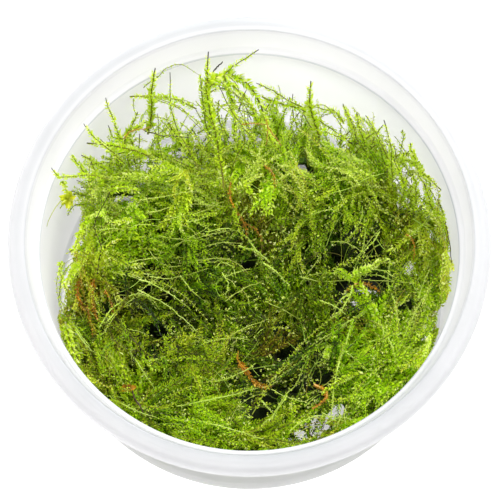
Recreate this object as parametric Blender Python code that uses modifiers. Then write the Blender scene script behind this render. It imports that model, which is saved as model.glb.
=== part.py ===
"""A clump of water moss in the shallow, clear plastic culture cup that it is grown and sold in.

The cup stands on z = 0 with its axis on the Z axis, and the long shoots lean towards +Y.
Sizes and places are in millimetres here. MM turns them to metres where a mesh is made.
"""
import math

import bmesh
import bpy
from mathutils import Vector, noise
from mathutils.bvhtree import BVHTree

MM = 0.001
UP = Vector((0.0, 0.0, 1.0))

# The cup: a thin moulded pot with a tapered well, a lid seat and a rolled rim with a skirt.
RIM_RADIUS = 50.0
CUP_HEIGHT = 42.0
WALL = 1.0
FLOOR = 1.2
FOOT_RADIUS = 42.0
FOOT_ROUND = 1.5
FOOT_RING = 3.5
FOOT_RECESS = 0.4
MOUTH_HEIGHT = 35.3
MOUTH_RADIUS = 43.5
SEAT_HEIGHT = 36.1
SEAT_WIDTH = 1.2
COLLAR_RADIUS = 46.1
CREST_RADIUS = 46.5
LIP_ROUND = 1.9
SKIRT_BOTTOM = 38.3
ARC_STEPS = 3
CUP_TURN_STEPS = 64

# The mat: the dense lower mass of tangled moss, packed against the well's wall except at the back.
GAP = 0.4
MAT_CUTS = 16
MAT_FLAT_SHARE = 0.38
MAT_SIDE_SHARE = 0.36
MAT_MIDDLE_HEIGHT = 13.5
MAT_EDGE_RISE = 5.0
MAT_HEAP_RISE = 6.5
MAT_HEAP_CENTRE_Y = 20.0
MAT_HEAP_WIDTH = 11.0
MAT_SHOULDER = 5.0
MAT_BACK_LIMIT = 31.0
MAT_DENT_AZIMUTH = math.radians(160)
MAT_DENT_WIDTH = math.radians(26)
MAT_DENT_DEPTH = 5.0
TUFT_SPACING = 8.0
TUFT_RISE = 3.2
EDGE_RUFFLE = 0.6

# The shoots: single leafy stems, each the slim solid that its own small leaves fill.
SHOOT_POINTS = 7
SHOOT_BEVEL_RESOLUTION = 1
SHOOT_CLEARANCE = 0.35
TIP_SHARE = 0.5
LEAF_KNOB = 0.14
LIFT_STEP = 0.15
LIFT_LIMIT = 60

# Each leaning shoot: where it leaves the mat (x, y), its tip (x, y, z), how far its middle
# rises and how far it sways to the left, and its radius at the root.
LEANING_SHOOTS = [
    (-27.5, 19.0, -40.8, 16.2, 39.0, 1.5, 0.0, 0.65),
    (-25.0, 23.0, -34.2, 26.2, 38.0, 1.5, 0.0, 0.65),
    (-21.0, 20.0, -33.3, 23.4, 33.5, 1.0, -0.5, 0.60),
    (-23.0, 24.5, -29.8, 31.4, 38.5, 2.0, 0.5, 0.60),
    (-20.5, 27.0, -25.0, 33.6, 36.0, 1.5, 0.0, 0.75),
    (-17.0, 23.5, -19.6, 38.0, 39.0, 2.0, 0.5, 0.95),
    (-10.5, 20.0, -16.5, 37.6, 37.5, 1.0, -1.2, 0.60),
    (-4.5, 17.0, -8.6, 41.4, 39.5, 1.5, 0.6, 0.95),
    (-9.5, 26.5, -5.4, 40.8, 36.0, 0.5, 0.4, 0.60),
    (-1.0, 28.5, 1.8, 41.8, 38.5, 0.5, 0.8, 0.70),
    (9.5, 27.5, 1.0, 37.2, 33.0, 1.5, 0.0, 0.65),
    (13.5, 24.0, 12.8, 36.8, 36.5, 1.0, 0.3, 0.90),
    (18.5, 26.0, 16.4, 33.4, 31.0, 1.0, 0.5, 0.60),
    (23.0, 25.0, 19.4, 32.2, 34.0, 1.0, 0.4, 0.60),
    (25.5, 21.0, 22.6, 30.0, 33.0, 0.8, 0.4, 0.75),
    (28.0, 17.5, 24.9, 28.2, 35.5, 0.8, 0.3, 0.60),
    (31.0, 13.0, 29.0, 26.4, 36.5, 1.0, 0.5, 0.65),
    (34.5, 13.5, 33.4, 22.8, 36.5, 0.8, 0.2, 0.60),
    (34.0, 6.0, 40.0, 13.2, 35.0, 1.5, -1.0, 0.80),
    (36.5, 9.5, 41.2, -2.0, 31.0, 1.0, -0.8, 0.55),
    (-32.0, 8.0, -38.4, 14.6, 33.0, 1.5, 0.4, 0.55),
    (-33.0, 3.0, -39.6, -0.8, 31.0, 2.0, -0.5, 0.60),
    (-34.0, -5.0, -39.2, -10.0, 29.5, 2.0, 0.0, 0.60),
    (-29.5, 12.0, -33.4, 19.2, 30.5, 1.0, 0.2, 0.60),
    (29.5, 8.5, 31.8, 17.0, 31.5, 1.0, 0.0, 0.60),
]

# Each arching strand: its two feet on the mat (x, y, x, y), how far its middle rises and sways,
# and its radius.
ARCHING_STRANDS = [
    (2.0, 26.5, 24.0, 18.0, 9.0, 5.5, 0.65),
    (-5.5, 26.0, 10.0, 21.0, 13.5, 9.0, 0.75),
    (-21.5, -0.5, -7.0, -12.0, 3.5, 1.5, 0.45),
    (-31.0, -13.0, -19.5, -8.0, 4.5, 3.0, 0.45),
    (0.5, -31.0, 21.5, -6.0, 4.5, 1.5, 0.45),
    (22.0, -11.5, 16.5, -30.0, 4.0, -1.0, 0.55),
    (19.5, -30.5, 28.5, -20.0, 3.5, 0.5, 0.50),
    (12.5, -1.5, 27.5, 4.0, 3.5, 1.0, 0.50),
    (-18.0, 9.5, 0.5, 5.5, 3.5, 1.0, 0.45),
    (-23.5, 6.0, -12.0, 2.5, 3.0, 0.5, 0.45),
    (-20.5, -29.5, -3.0, -22.0, 3.5, 0.5, 0.50),
    (-9.0, -17.5, 1.5, -9.5, 3.0, 0.5, 0.45),
    (28.5, -9.5, 33.5, -24.0, 3.5, 1.0, 0.45),
    (3.5, -10.5, 10.5, -12.5, 3.0, 0.5, 0.45),
]

# Each dry shoot: the same values as a strand. They are brown and lie close to the mat.
DRY_SHOOTS = [
    (13.6, -24.0, 13.2, -29.5, 2.0, 0.0, 0.50),
    (20.5, -3.0, 27.5, -3.5, 1.5, 0.0, 0.50),
    (-32.6, -1.5, -31.4, -11.0, 1.5, 0.0, 0.50),
    (-0.5, -22.5, 5.0, -26.5, 1.5, 0.0, 0.50),
]

# The yellow bud of young leaves by the left wall, and a dead scrap of leaf lying on the mat.
BUD_PLACE = (-37.7, 10.9, 35.6)
BUD_SIZE = (1.9, 1.9, 1.3)
BUD_LOBES = 5
BUD_LOBE_DEPTH = 0.2
SCRAP_PLACE = (-25.5, -25.5)
SCRAP_LENGTH = 6.5
SCRAP_WIDTH = 2.4
SCRAP_THICKNESS = 0.5
SCRAP_TURN = math.radians(-50)
SCRAP_CURL = 0.8
SCRAP_OUTLINE_STEPS = 12


def clear_scene():
    """Empty the scene, so that only the moss and its cup are in it."""
    for obj in list(bpy.data.objects):
        bpy.data.objects.remove(obj, do_unlink=True)


def make_material(name, colour, roughness, alpha=1.0):
    """A Principled material with one plain colour."""
    material = bpy.data.materials.new(name)
    material.use_nodes = True
    shader = material.node_tree.nodes["Principled BSDF"]
    shader.inputs["Base Color"].default_value = (*colour, 1.0)
    shader.inputs["Roughness"].default_value = roughness
    shader.inputs["Metallic"].default_value = 0.0
    shader.inputs["Alpha"].default_value = alpha
    return material


def add_object(name, data, material, collection):
    """Link data to the collection as one named object."""
    obj = bpy.data.objects.new(name, data)
    data.materials.append(material)
    collection.objects.link(obj)
    return obj


def smooth_step(value):
    """0 below 0, 1 above 1, and an even ramp between."""
    share = min(max(value, 0.0), 1.0)
    return share * share * (3.0 - 2.0 * share)


def polar(azimuth, radius):
    """x, y at this azimuth and radius."""
    return radius * math.cos(azimuth), radius * math.sin(azimuth)


def arc(centre_r, centre_z, radius, start_deg, end_deg):
    """Points (r, z) along a round of the cup's section."""
    turn = (end_deg - start_deg) / ARC_STEPS
    angles = [math.radians(start_deg + turn * i) for i in range(ARC_STEPS + 1)]
    return [(centre_r + radius * math.cos(a), centre_z + radius * math.sin(a)) for a in angles]


def well_radius(z):
    """Inner radius of the cup at height z, from its floor to its rim."""
    levels = [(FLOOR, FOOT_RADIUS - WALL), (MOUTH_HEIGHT, MOUTH_RADIUS)]
    levels += [(SEAT_HEIGHT, MOUTH_RADIUS + SEAT_WIDTH), (CUP_HEIGHT, COLLAR_RADIUS)]
    for (low_z, low_r), (high_z, high_r) in zip(levels, levels[1:]):
        if z < high_z:
            share = max(z - low_z, 0.0) / (high_z - low_z)
            return low_r + (high_r - low_r) * share
    return COLLAR_RADIUS


def cup_section():
    """The cup's section: down its inside to the floor's middle, then up its outside to the rim."""
    lip_middle = CUP_HEIGHT - LIP_ROUND
    under_rim = CUP_HEIGHT - WALL
    rim = [(CREST_RADIUS, CUP_HEIGHT)]
    rim += arc(RIM_RADIUS - LIP_ROUND, lip_middle, LIP_ROUND, 90, 0)
    skirt = [(RIM_RADIUS, SKIRT_BOTTOM), (RIM_RADIUS - WALL, SKIRT_BOTTOM)]
    skirt += [(RIM_RADIUS - WALL, lip_middle), (RIM_RADIUS - LIP_ROUND, under_rim)]
    outside = [(CREST_RADIUS + WALL, under_rim), (COLLAR_RADIUS + 0.2, SEAT_HEIGHT - 0.3)]
    outside += [(MOUTH_RADIUS + WALL, MOUTH_HEIGHT - 1.0)]
    ring_inner = FOOT_RADIUS - FOOT_ROUND - FOOT_RING
    foot = arc(FOOT_RADIUS - FOOT_ROUND, FOOT_ROUND, FOOT_ROUND, 0, -90)
    foot += [(ring_inner, 0.0), (ring_inner - FOOT_RECESS, FOOT_RECESS), (0.0, FOOT_RECESS)]
    floor_round = arc(FOOT_RADIUS - WALL - FOOT_ROUND, FLOOR + FOOT_ROUND, FOOT_ROUND, -90, 0)
    inside = [(0.0, FLOOR), *floor_round, (MOUTH_RADIUS, MOUTH_HEIGHT)]
    inside += [(MOUTH_RADIUS + SEAT_WIDTH, SEAT_HEIGHT), (COLLAR_RADIUS, CUP_HEIGHT - 0.5)]
    return inside + rim + skirt + outside + foot


def make_cup(collection):
    """The cup, turned from its section with a Screw modifier."""
    points = [(r * MM, 0.0, z * MM) for r, z in cup_section()]
    mesh = bpy.data.meshes.new("cup")
    mesh.from_pydata(points, [(i, i + 1) for i in range(len(points) - 1)], [])
    material = make_material("clear_polypropylene", (0.90, 0.91, 0.92), 0.25, alpha=0.45)
    cup = add_object("cup", mesh, material, collection)
    turn = cup.modifiers.new("turn", "SCREW")
    turn.steps = CUP_TURN_STEPS
    turn.render_steps = CUP_TURN_STEPS
    turn.use_merge_vertices = True
    turn.merge_threshold = 0.01 * MM
    turn.use_smooth_shade = True


def mat_top(x, y):
    """Height of the mat at x, y: a hollow middle, a raised edge, a heap at the back and tufts."""
    edge = MAT_EDGE_RISE * smooth_step((math.hypot(x, y) - 8.0) / 28.0)
    off_heap = (y - MAT_HEAP_CENTRE_Y) / MAT_HEAP_WIDTH
    heap = MAT_HEAP_RISE * math.exp(-off_heap * off_heap)
    nearest = noise.voronoi(Vector((x / TUFT_SPACING, y / TUFT_SPACING, 0.5)))[0][0]
    crown = 1.0 - min(nearest * 1.5, 1.0) ** 2
    return MAT_MIDDLE_HEIGHT + edge + heap + TUFT_RISE * (crown - 0.5)


def mat_edge(azimuth, z):
    """Radius of the mat at this azimuth and height: the well's, less the empty back and left side."""
    across = math.sin(azimuth)
    radius = well_radius(z) - GAP - EDGE_RUFFLE
    off_dent = math.remainder(azimuth - MAT_DENT_AZIMUTH, 2 * math.pi) / MAT_DENT_WIDTH
    radius -= MAT_DENT_DEPTH * math.exp(-off_dent * off_dent)
    if across * radius > MAT_BACK_LIMIT:
        radius = MAT_BACK_LIMIT / across
    return radius + EDGE_RUFFLE * noise.noise(Vector((*polar(azimuth, 4.0), z / 5.0)))


def mat_point(azimuth, latitude):
    """Where a point of a globe goes on the mat: its flat bottom, upright side or tufted top."""
    rise = latitude / math.pi + 0.5
    floor_z = FLOOR + GAP
    side_bottom = floor_z + FOOT_ROUND
    flat_end = MAT_FLAT_SHARE / 2
    side_end = flat_end + MAT_SIDE_SHARE / 2
    if rise < flat_end:
        x, y = polar(azimuth, (mat_edge(azimuth, side_bottom) - FOOT_ROUND) * rise / flat_end)
        return x, y, floor_z
    rim_x, rim_y = polar(azimuth, mat_edge(azimuth, MAT_MIDDLE_HEIGHT))
    side_top = mat_top(rim_x, rim_y) - MAT_SHOULDER
    if rise < side_end:
        z = side_bottom + (side_top - side_bottom) * (rise - flat_end) / (side_end - flat_end)
        x, y = polar(azimuth, mat_edge(azimuth, z))
        return x, y, z
    inward = (rise - side_end) / (1.0 - side_end)
    edge = mat_edge(azimuth, side_top)
    x, y = polar(azimuth, edge * (1.0 - inward))
    short_of_top = 1.0 - min(inward * edge / MAT_SHOULDER, 1.0)
    drop = MAT_SHOULDER * (1.0 - math.sqrt(1.0 - short_of_top * short_of_top))
    return x, y, mat_top(x, y) - drop


def make_mat(collection):
    """The mat, from a cube cut into a grid and rounded to a globe, which spreads its points evenly.

    Returns a search tree of the mat's surface, for what stands on it.
    """
    mesh = bpy.data.meshes.new("moss_mat")
    shape = bmesh.new()
    bmesh.ops.create_cube(shape, size=2.0)
    bmesh.ops.subdivide_edges(shape, edges=shape.edges, cuts=MAT_CUTS, use_grid_fill=True)
    for vertex in shape.verts:
        outward = vertex.co.normalized()
        azimuth = math.atan2(outward.y, outward.x)
        vertex.co = Vector(mat_point(azimuth, math.asin(outward.z))) * MM
    tree = BVHTree.FromBMesh(shape)
    shape.to_mesh(mesh)
    shape.free()
    mesh.shade_smooth()
    add_object("moss_mat", mesh, make_material("moss_green", (0.13, 0.24, 0.02), 0.8), collection)
    return tree


def bowed_path(root, tip, rise, sway):
    """Points from root to tip, with the middle raised and pushed to the left of the way there."""
    chord = tip - root
    side = Vector((-chord.y, chord.x, 0.0)).normalized()
    path = []
    for i in range(SHOOT_POINTS):
        share = i / (SHOOT_POINTS - 1)
        bulge = 4.0 * share * (1.0 - share)
        path.append(root + chord * share + Vector((0.0, 0.0, rise * bulge)) + side * sway * bulge)
    return path


def kept_clear(path, radius, tree):
    """The path, raised off the mat and drawn in from the cup's wall where it would touch them."""
    clear = []
    for point in path:
        point = point.copy()
        reach = math.hypot(point.x, point.y)
        room = well_radius(point.z) - radius - SHOOT_CLEARANCE
        if reach > room:
            point.x *= room / reach
            point.y *= room / reach
        for _ in range(LIFT_LIMIT):
            buried = tree.ray_cast(point * MM, UP)[0] is not None
            distance = tree.find_nearest(point * MM)[3]
            if not buried and distance > (radius + SHOOT_CLEARANCE) * MM:
                break
            point.z += LIFT_STEP
        clear.append(point)
    return clear


def make_shoot(name, path, radius, tip_share, material, collection):
    """One stem as a bevelled curve, a little wider at every second point, where leaves stand."""
    curve = bpy.data.curves.new(name, "CURVE")
    curve.dimensions = "3D"
    curve.bevel_depth = radius * MM
    curve.bevel_resolution = SHOOT_BEVEL_RESOLUTION
    curve.use_fill_caps = True
    spline = curve.splines.new("POLY")
    spline.points.add(len(path) - 1)
    for i, (slot, point) in enumerate(zip(spline.points, path)):
        taper = 1.0 - (1.0 - tip_share) * i / (len(path) - 1)
        slot.co = (*(point * MM), 1.0)
        slot.radius = taper * (1.0 - LEAF_KNOB * (i % 2))
    add_object(name, curve, material, collection)


def make_leaning_shoots(tree, collection):
    """The long shoots that lean from the heap to the wall and the rim."""
    material = make_material("shoot_lime", (0.32, 0.50, 0.03), 0.6)
    for number, row in enumerate(LEANING_SHOOTS, start=1):
        x, y, tip_x, tip_y, tip_z, rise, sway, radius = row
        path = bowed_path(Vector((x, y, mat_top(x, y))), Vector((tip_x, tip_y, tip_z)), rise, sway)
        path = kept_clear(path, radius, tree)
        make_shoot(f"leaning_shoot_{number:02d}", path, radius, TIP_SHARE, material, collection)


def make_strands(rows, label, material, tree, collection):
    """Strands that stand on the mat at both ends."""
    for number, (x, y, far_x, far_y, rise, sway, radius) in enumerate(rows, start=1):
        foot = Vector((x, y, mat_top(x, y)))
        far_foot = Vector((far_x, far_y, mat_top(far_x, far_y)))
        path = kept_clear(bowed_path(foot, far_foot, rise, sway), radius, tree)
        make_shoot(f"{label}_{number:02d}", path, radius, 1.0, material, collection)


def make_bud(collection):
    """The yellow bud: a lobed knob of young leaves at the end of its shoot."""
    mesh = bpy.data.meshes.new("yellow_bud")
    shape = bmesh.new()
    bmesh.ops.create_icosphere(shape, subdivisions=2, radius=1.0)
    for vertex in shape.verts:
        lobe = 1.0 + BUD_LOBE_DEPTH * math.cos(BUD_LOBES * math.atan2(vertex.co.y, vertex.co.x))
        size = Vector(BUD_SIZE) * lobe
        vertex.co = (Vector(BUD_PLACE) + size * vertex.co) * MM
    shape.to_mesh(mesh)
    shape.free()
    mesh.shade_smooth()
    add_object("yellow_bud", mesh, make_material("bud_yellow", (0.62, 0.62, 0.02), 0.5), collection)


def scrap_outline():
    """The dead scrap's outline as a 2D curve: a leaf shape, broader towards its base."""
    outline = bpy.data.curves.new("scrap_outline", "CURVE")
    outline.dimensions = "2D"
    outline.fill_mode = "BOTH"
    outline.extrude = SCRAP_THICKNESS * MM / 2
    spline = outline.splines.new("POLY")
    spline.points.add(SCRAP_OUTLINE_STEPS - 1)
    for i, slot in enumerate(spline.points):
        turn = 2 * math.pi * i / SCRAP_OUTLINE_STEPS
        half_width = SCRAP_WIDTH / 2 * math.sin(turn) * (1.0 - 0.3 * math.cos(turn))
        slot.co = (SCRAP_LENGTH / 2 * math.cos(turn) * MM, half_width * MM, 0.0, 1.0)
    spline.use_cyclic_u = True
    return outline


def make_scrap(tree, collection):
    """The dead scrap of leaf, curled up at both ends, lying on the mat."""
    flat = bpy.data.objects.new("scrap_outline", scrap_outline())
    collection.objects.link(flat)
    graph = bpy.context.evaluated_depsgraph_get()
    mesh = bpy.data.meshes.new_from_object(flat.evaluated_get(graph))
    bpy.data.objects.remove(flat, do_unlink=True)
    shape = bmesh.new()
    shape.from_mesh(mesh)
    bmesh.ops.remove_doubles(shape, verts=shape.verts, dist=0.01 * MM)
    for vertex in shape.verts:
        along = vertex.co.x / (SCRAP_LENGTH / 2 * MM)
        vertex.co.z += SCRAP_CURL * MM * along * along
    shape.to_mesh(mesh)
    shape.free()
    mesh.name = "dead_scrap"
    scrap = add_object("dead_scrap", mesh, make_material("dead_brown", (0.13, 0.06, 0.02), 0.8), collection)
    x, y = SCRAP_PLACE
    rest = kept_clear([Vector((x, y, mat_top(x, y)))], SCRAP_LENGTH / 4, tree)[0]
    scrap.location = rest * MM
    scrap.rotation_euler = (0.0, 0.0, SCRAP_TURN)


def main():
    """Build the cup, the mat and everything that stands or lies on the mat."""
    clear_scene()
    collection = bpy.data.collections.new("moss_clump")
    bpy.context.scene.collection.children.link(collection)
    make_cup(collection)
    tree = make_mat(collection)
    make_leaning_shoots(tree, collection)
    strand_green = make_material("strand_green", (0.20, 0.42, 0.04), 0.6)
    make_strands(ARCHING_STRANDS, "arching_strand", strand_green, tree, collection)
    dry_brown = make_material("dry_brown", (0.30, 0.12, 0.03), 0.8)
    make_strands(DRY_SHOOTS, "dry_shoot", dry_brown, tree, collection)
    make_bud(collection)
    make_scrap(tree, collection)


main()
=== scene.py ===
import math

import bmesh
import bpy
import numpy as np
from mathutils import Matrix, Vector, noise
from mathutils.bvhtree import BVHTree


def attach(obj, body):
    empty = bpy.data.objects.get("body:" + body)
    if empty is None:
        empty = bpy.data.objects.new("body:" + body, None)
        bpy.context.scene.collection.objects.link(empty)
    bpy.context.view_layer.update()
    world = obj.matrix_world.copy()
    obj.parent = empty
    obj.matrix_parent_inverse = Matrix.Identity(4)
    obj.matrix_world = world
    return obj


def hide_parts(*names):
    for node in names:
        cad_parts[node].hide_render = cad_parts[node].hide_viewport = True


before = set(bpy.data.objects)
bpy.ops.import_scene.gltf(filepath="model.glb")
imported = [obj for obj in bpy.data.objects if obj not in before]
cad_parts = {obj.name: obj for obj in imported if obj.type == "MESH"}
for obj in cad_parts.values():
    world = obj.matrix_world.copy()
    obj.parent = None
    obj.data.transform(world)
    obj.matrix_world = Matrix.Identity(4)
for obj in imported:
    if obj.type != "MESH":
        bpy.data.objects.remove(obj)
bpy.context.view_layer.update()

# ---------------------------------------------------------------------------------------------
# The culture cup. Injection-moulded in one shot of milky-clear polypropylene, 1 mm thick: a
# tapered well with a flat foot ring, a step where the lid plugs in, and a rolled rim whose skirt
# stiffens it. Nothing is fixed to it: the moss just lies inside.

MM = 0.001

# The inside of the well, which the growth is kept in: heights over the table and radii.
WELL_HEIGHTS = [1.2, 35.3, 36.1, 42.0]
WELL_RADII = [41.0, 43.5, 44.7, 46.1]

CUP_TURN_STEPS = 192
EDGE_STEPS = 4
EDGE_REACH = 1.3

# The section in mm from the floor's middle, up the inside, over the rim and down to the foot:
# radius, height, the round at that corner, the painted shade on the plastic there, and how much
# more painted shade the corner's own line gets, where the plastic is seen edge-on.
CUP_SECTION = [
    (0, 1.2, 0, 0, 0), (41.1, 1.2, 1.5, 0.05, 0.4), (43.5, 35.3, 0.25, 0.1, 0.55),
    (44.7, 36.1, 0.5, 0.03, 0.15), (46.1, 41.3, 0.4, 0.03, 0.15), (46.5, 42, 0.3, 0.35, 0.1),
    (50, 42, 1.9, 0.4, 0.03), (50, 38.3, 0.4, 0.15, 0.05), (49, 38.3, 0.4, 0, 0), (49, 41, 0.9, 0, 0),
    (47.5, 41, 0.3, 0, 0), (46.3, 35.8, 0.3, 0, 0), (44.5, 34.3, 0.5, 0.02, 0), (42, 0, 1.5, 0.08, 0.1),
    (37, 0, 0.2, 0, 0), (36.6, 0.4, 0.2, 0, 0), (0, 0.4, 0, 0, 0),
]
FLOOR_EDGE = 40
FLOOR_BELOW = 3

# Painted shade on the rim and the wall's top towards the front, the back, the left and the right,
# at these radii; where a value is below zero the rim is painted lighter.
RIM_FOOT = 34.9
RIM_RADII = [43.2, 44, 44.7, 46, 46.5, 46.9, 47.5, 48.1, 48.9, 49.5, 50]
RIM_PAINTED_SHADES = {
    (0, -1): [0, 0, 0.5, 0.45, 0.34, 0.26, 0.05, -0.08, -0.17, -0.2, -0.15],
    (0, 1): [0, 0, -0.08, -0.1, -0.2, -0.1, 0.12, 0.18, 0.18, 0.15, 0.1],
    (-1, 0): [0, 0, 0.08, 0.08, 0.05, 0, 0, 0, -0.1, -0.2, -0.2],
    (1, 0): [0.35, 0.3, 0.15, 0.05, 0, 0, 0, 0, 0, 0, 0],
}

# Painted shade on the far side of the floor: it is painted greyer than the near side, and covers more.
FAR_FLOOR_TOP = 1.25
FAR_FLOOR_PAINTED_SHADE = 0.85
FAR_FLOOR_DENSER = 0.45

POLYPROPYLENE_WHITE = "#F1F0F1"
POLYPROPYLENE_PAINTED_SHADE = "#A4A9AD"
FLOOR_WHITE_PAINTED_GREEN_LIGHT = "#F1F2D2"
FLOOR_PAINTED_SHADE = "#A6AB8C"
POLYPROPYLENE_IOR = 1.49
POLYPROPYLENE_ROUGHNESS = 0.3
POLYPROPYLENE_COVER = 0.7
POLYPROPYLENE_GLOW = 0.5
POLYPROPYLENE_CLOUD = 14
CLOUD_GREY = 0.16
CLOUD_BASE = -0.06
FLOOR_COVER = 0.2
FLOOR_GLOW = 0.1


def linear(hex_colour):
    """An sRGB hex colour as the linear RGBA that a socket takes."""
    channels = [int(hex_colour[i:i + 2], 16) / 255 for i in (1, 3, 5)]
    return (*[c / 12.92 if c <= 0.04045 else ((c + 0.055) / 1.055) ** 2.4 for c in channels], 1.0)


def add(tree, kind, inputs=None, **settings):
    """One node. An input's value is a plain value, or another node's output to link to it."""
    node = tree.nodes.new(kind)
    for name, value in settings.items():
        setattr(node, name, value)
    for socket, value in (inputs or {}).items():
        if isinstance(value, bpy.types.NodeSocket):
            tree.links.new(value, node.inputs[socket])
        else:
            node.inputs[socket].default_value = value
    return node


def blank_material(name):
    """A material with an empty node tree."""
    material = bpy.data.materials.new(name)
    material.use_nodes = True
    material.node_tree.nodes.clear()
    return material


def grown_piece(name, vertices, triangles, materials, nodes, uv=None, material_index=None,
                smooth=False):
    """One mesh object in metres that stands for the named CAD nodes and rides on the root."""
    mesh = bpy.data.meshes.new(name)
    mesh.vertices.add(len(vertices))
    mesh.vertices.foreach_set("co", (np.asarray(vertices, float) * MM).ravel())
    corners = len(triangles[0])
    mesh.loops.add(len(triangles) * corners)
    mesh.loops.foreach_set("vertex_index", np.asarray(triangles).ravel())
    mesh.polygons.add(len(triangles))
    mesh.polygons.foreach_set("loop_start", np.arange(len(triangles)) * corners)
    if material_index is not None:
        mesh.polygons.foreach_set("material_index", material_index)
    mesh.polygons.foreach_set("use_smooth", np.full(len(triangles), smooth))
    if uv is not None:
        layer = mesh.uv_layers.new(name="OFBake")
        layer.data.foreach_set("uv", np.asarray(uv)[np.asarray(triangles).ravel()].ravel())
    for material in materials:
        mesh.materials.append(material)
    mesh.update(calc_edges=True)
    mesh.validate()
    piece = bpy.data.objects.new(name, mesh)
    bpy.context.scene.collection.objects.link(piece)
    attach(piece, "root")
    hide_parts(*nodes)


def rounded_section(corners):
    """The section's points, each corner turned into a round, and the painted shade at each point."""
    points, shades = [], []
    for i, (r, z, bend, grey, line) in enumerate(corners):
        here = Vector((r, z))
        if bend == 0:
            points.append(here)
            shades.append(grey)
            continue
        back = (Vector(corners[i - 1][:2]) - here).normalized()
        ahead = (Vector(corners[i + 1][:2]) - here).normalized()
        points.append(here + back * bend * EDGE_REACH)
        for k in range(EDGE_STEPS + 1):
            share = k / EDGE_STEPS
            points.append(here + back * bend * (1 - share) ** 2 + ahead * bend * share ** 2)
        points.append(here + ahead * bend * EDGE_REACH)
        shades += [grey + line * math.sin(math.pi * k / (EDGE_STEPS + 2)) for k in range(EDGE_STEPS + 3)]
    return points, shades


def halved(quads):
    """Two triangles for each quad."""
    return np.vstack([quads[:, [0, 1, 2]], quads[:, [0, 2, 3]]])


def turned(points, steps):
    """A closed solid turned from section points that start and end on the axis."""
    ring = np.array([(p.x, p.y) for p in points[1:-1]])
    turn = np.arange(steps) * 2 * math.pi / steps
    x = ring[None, :, 0] * np.cos(turn)[:, None]
    y = ring[None, :, 0] * np.sin(turn)[:, None]
    z = np.broadcast_to(ring[None, :, 1], x.shape)
    vertices = np.stack([x, y, z], axis=-1).reshape(-1, 3)
    count = len(ring)
    here = np.arange(steps)[:, None] * count + np.arange(count - 1)[None, :]
    there = (np.arange(steps)[:, None] + 1) % steps * count + np.arange(count - 1)[None, :]
    quads = np.stack([here, there, there + 1, here + 1], axis=-1).reshape(-1, 4)
    first, last = len(vertices), len(vertices) + 1
    vertices = np.vstack([vertices, (0, 0, points[0].y), (0, 0, points[-1].y)])
    rows = np.arange(steps) * count
    following = np.roll(rows, -1)
    lid = np.stack([np.full(steps, first), following, rows], axis=-1)
    base = np.stack([np.full(steps, last), rows + count - 1, following + count - 1], axis=-1)
    return vertices, np.vstack([halved(quads), lid[:, [0, 2, 1]], base[:, [0, 2, 1]]])


# Injection-moulded polypropylene, natural grade: milky, satin, a little see-through, with faint
# flow clouds from the mould. Painted shade, kept in its UV, makes it greyer where it is seen
# edge-on and where it lies in shade. The flat floor is clearer, and its colours carry a painted
# green cast of the light that has passed the moss.
def milky_plastic(name, white, edge, cover, glow_share, denser=0.0):
    """Milky plastic that covers what is behind it, and glows with light from behind, by these shares.

    Where the painted shade makes it greyer it also covers more, by the share denser."""
    material = blank_material(name)
    tree = material.node_tree
    place = add(tree, "ShaderNodeUVMap", uv_map="OFBake")
    split = add(tree, "ShaderNodeSeparateXYZ", {"Vector": place.outputs["UV"]})
    where = add(tree, "ShaderNodeTexCoord")
    clouds = add(tree, "ShaderNodeTexNoise", {
        "Vector": where.outputs["Object"], "Scale": 1 / (POLYPROPYLENE_CLOUD * MM), "Detail": 2.0,
        "Roughness": 0.5,
    })
    drift = add(tree, "ShaderNodeMath", {
        0: clouds.outputs["Fac"], 1: CLOUD_GREY, 2: CLOUD_BASE,
    }, operation="MULTIPLY_ADD")
    grey = add(tree, "ShaderNodeMath", {0: split.outputs["Y"], 1: drift.outputs[0]}, use_clamp=True)
    milk = add(tree, "ShaderNodeMix", {"Factor": grey.outputs[0]}, data_type="RGBA")
    milk.inputs["A"].default_value = linear(white)
    milk.inputs["B"].default_value = linear(edge)
    covering = add(tree, "ShaderNodeMath", {
        0: grey.outputs[0], 1: denser, 2: cover,
    }, operation="MULTIPLY_ADD")
    skin = add(tree, "ShaderNodeBsdfPrincipled", {
        "Base Color": milk.outputs["Result"], "Roughness": POLYPROPYLENE_ROUGHNESS,
        "IOR": POLYPROPYLENE_IOR, "Alpha": covering.outputs[0],
    })
    glow = add(tree, "ShaderNodeBsdfTranslucent", {"Color": milk.outputs["Result"]})
    shell = add(tree, "ShaderNodeMixShader", {
        0: glow_share, 1: skin.outputs["BSDF"], 2: glow.outputs["BSDF"],
    })
    add(tree, "ShaderNodeOutputMaterial", {"Surface": shell.outputs["Shader"]})
    return material


polypropylene = milky_plastic(
    "polypropylene_moulded_milky", POLYPROPYLENE_WHITE, POLYPROPYLENE_PAINTED_SHADE, POLYPROPYLENE_COVER,
    POLYPROPYLENE_GLOW)
polypropylene_floor = milky_plastic(
    "polypropylene_floor_clearer", FLOOR_WHITE_PAINTED_GREEN_LIGHT, FLOOR_PAINTED_SHADE, FLOOR_COVER, FLOOR_GLOW,
    denser=FAR_FLOOR_DENSER)

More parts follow.
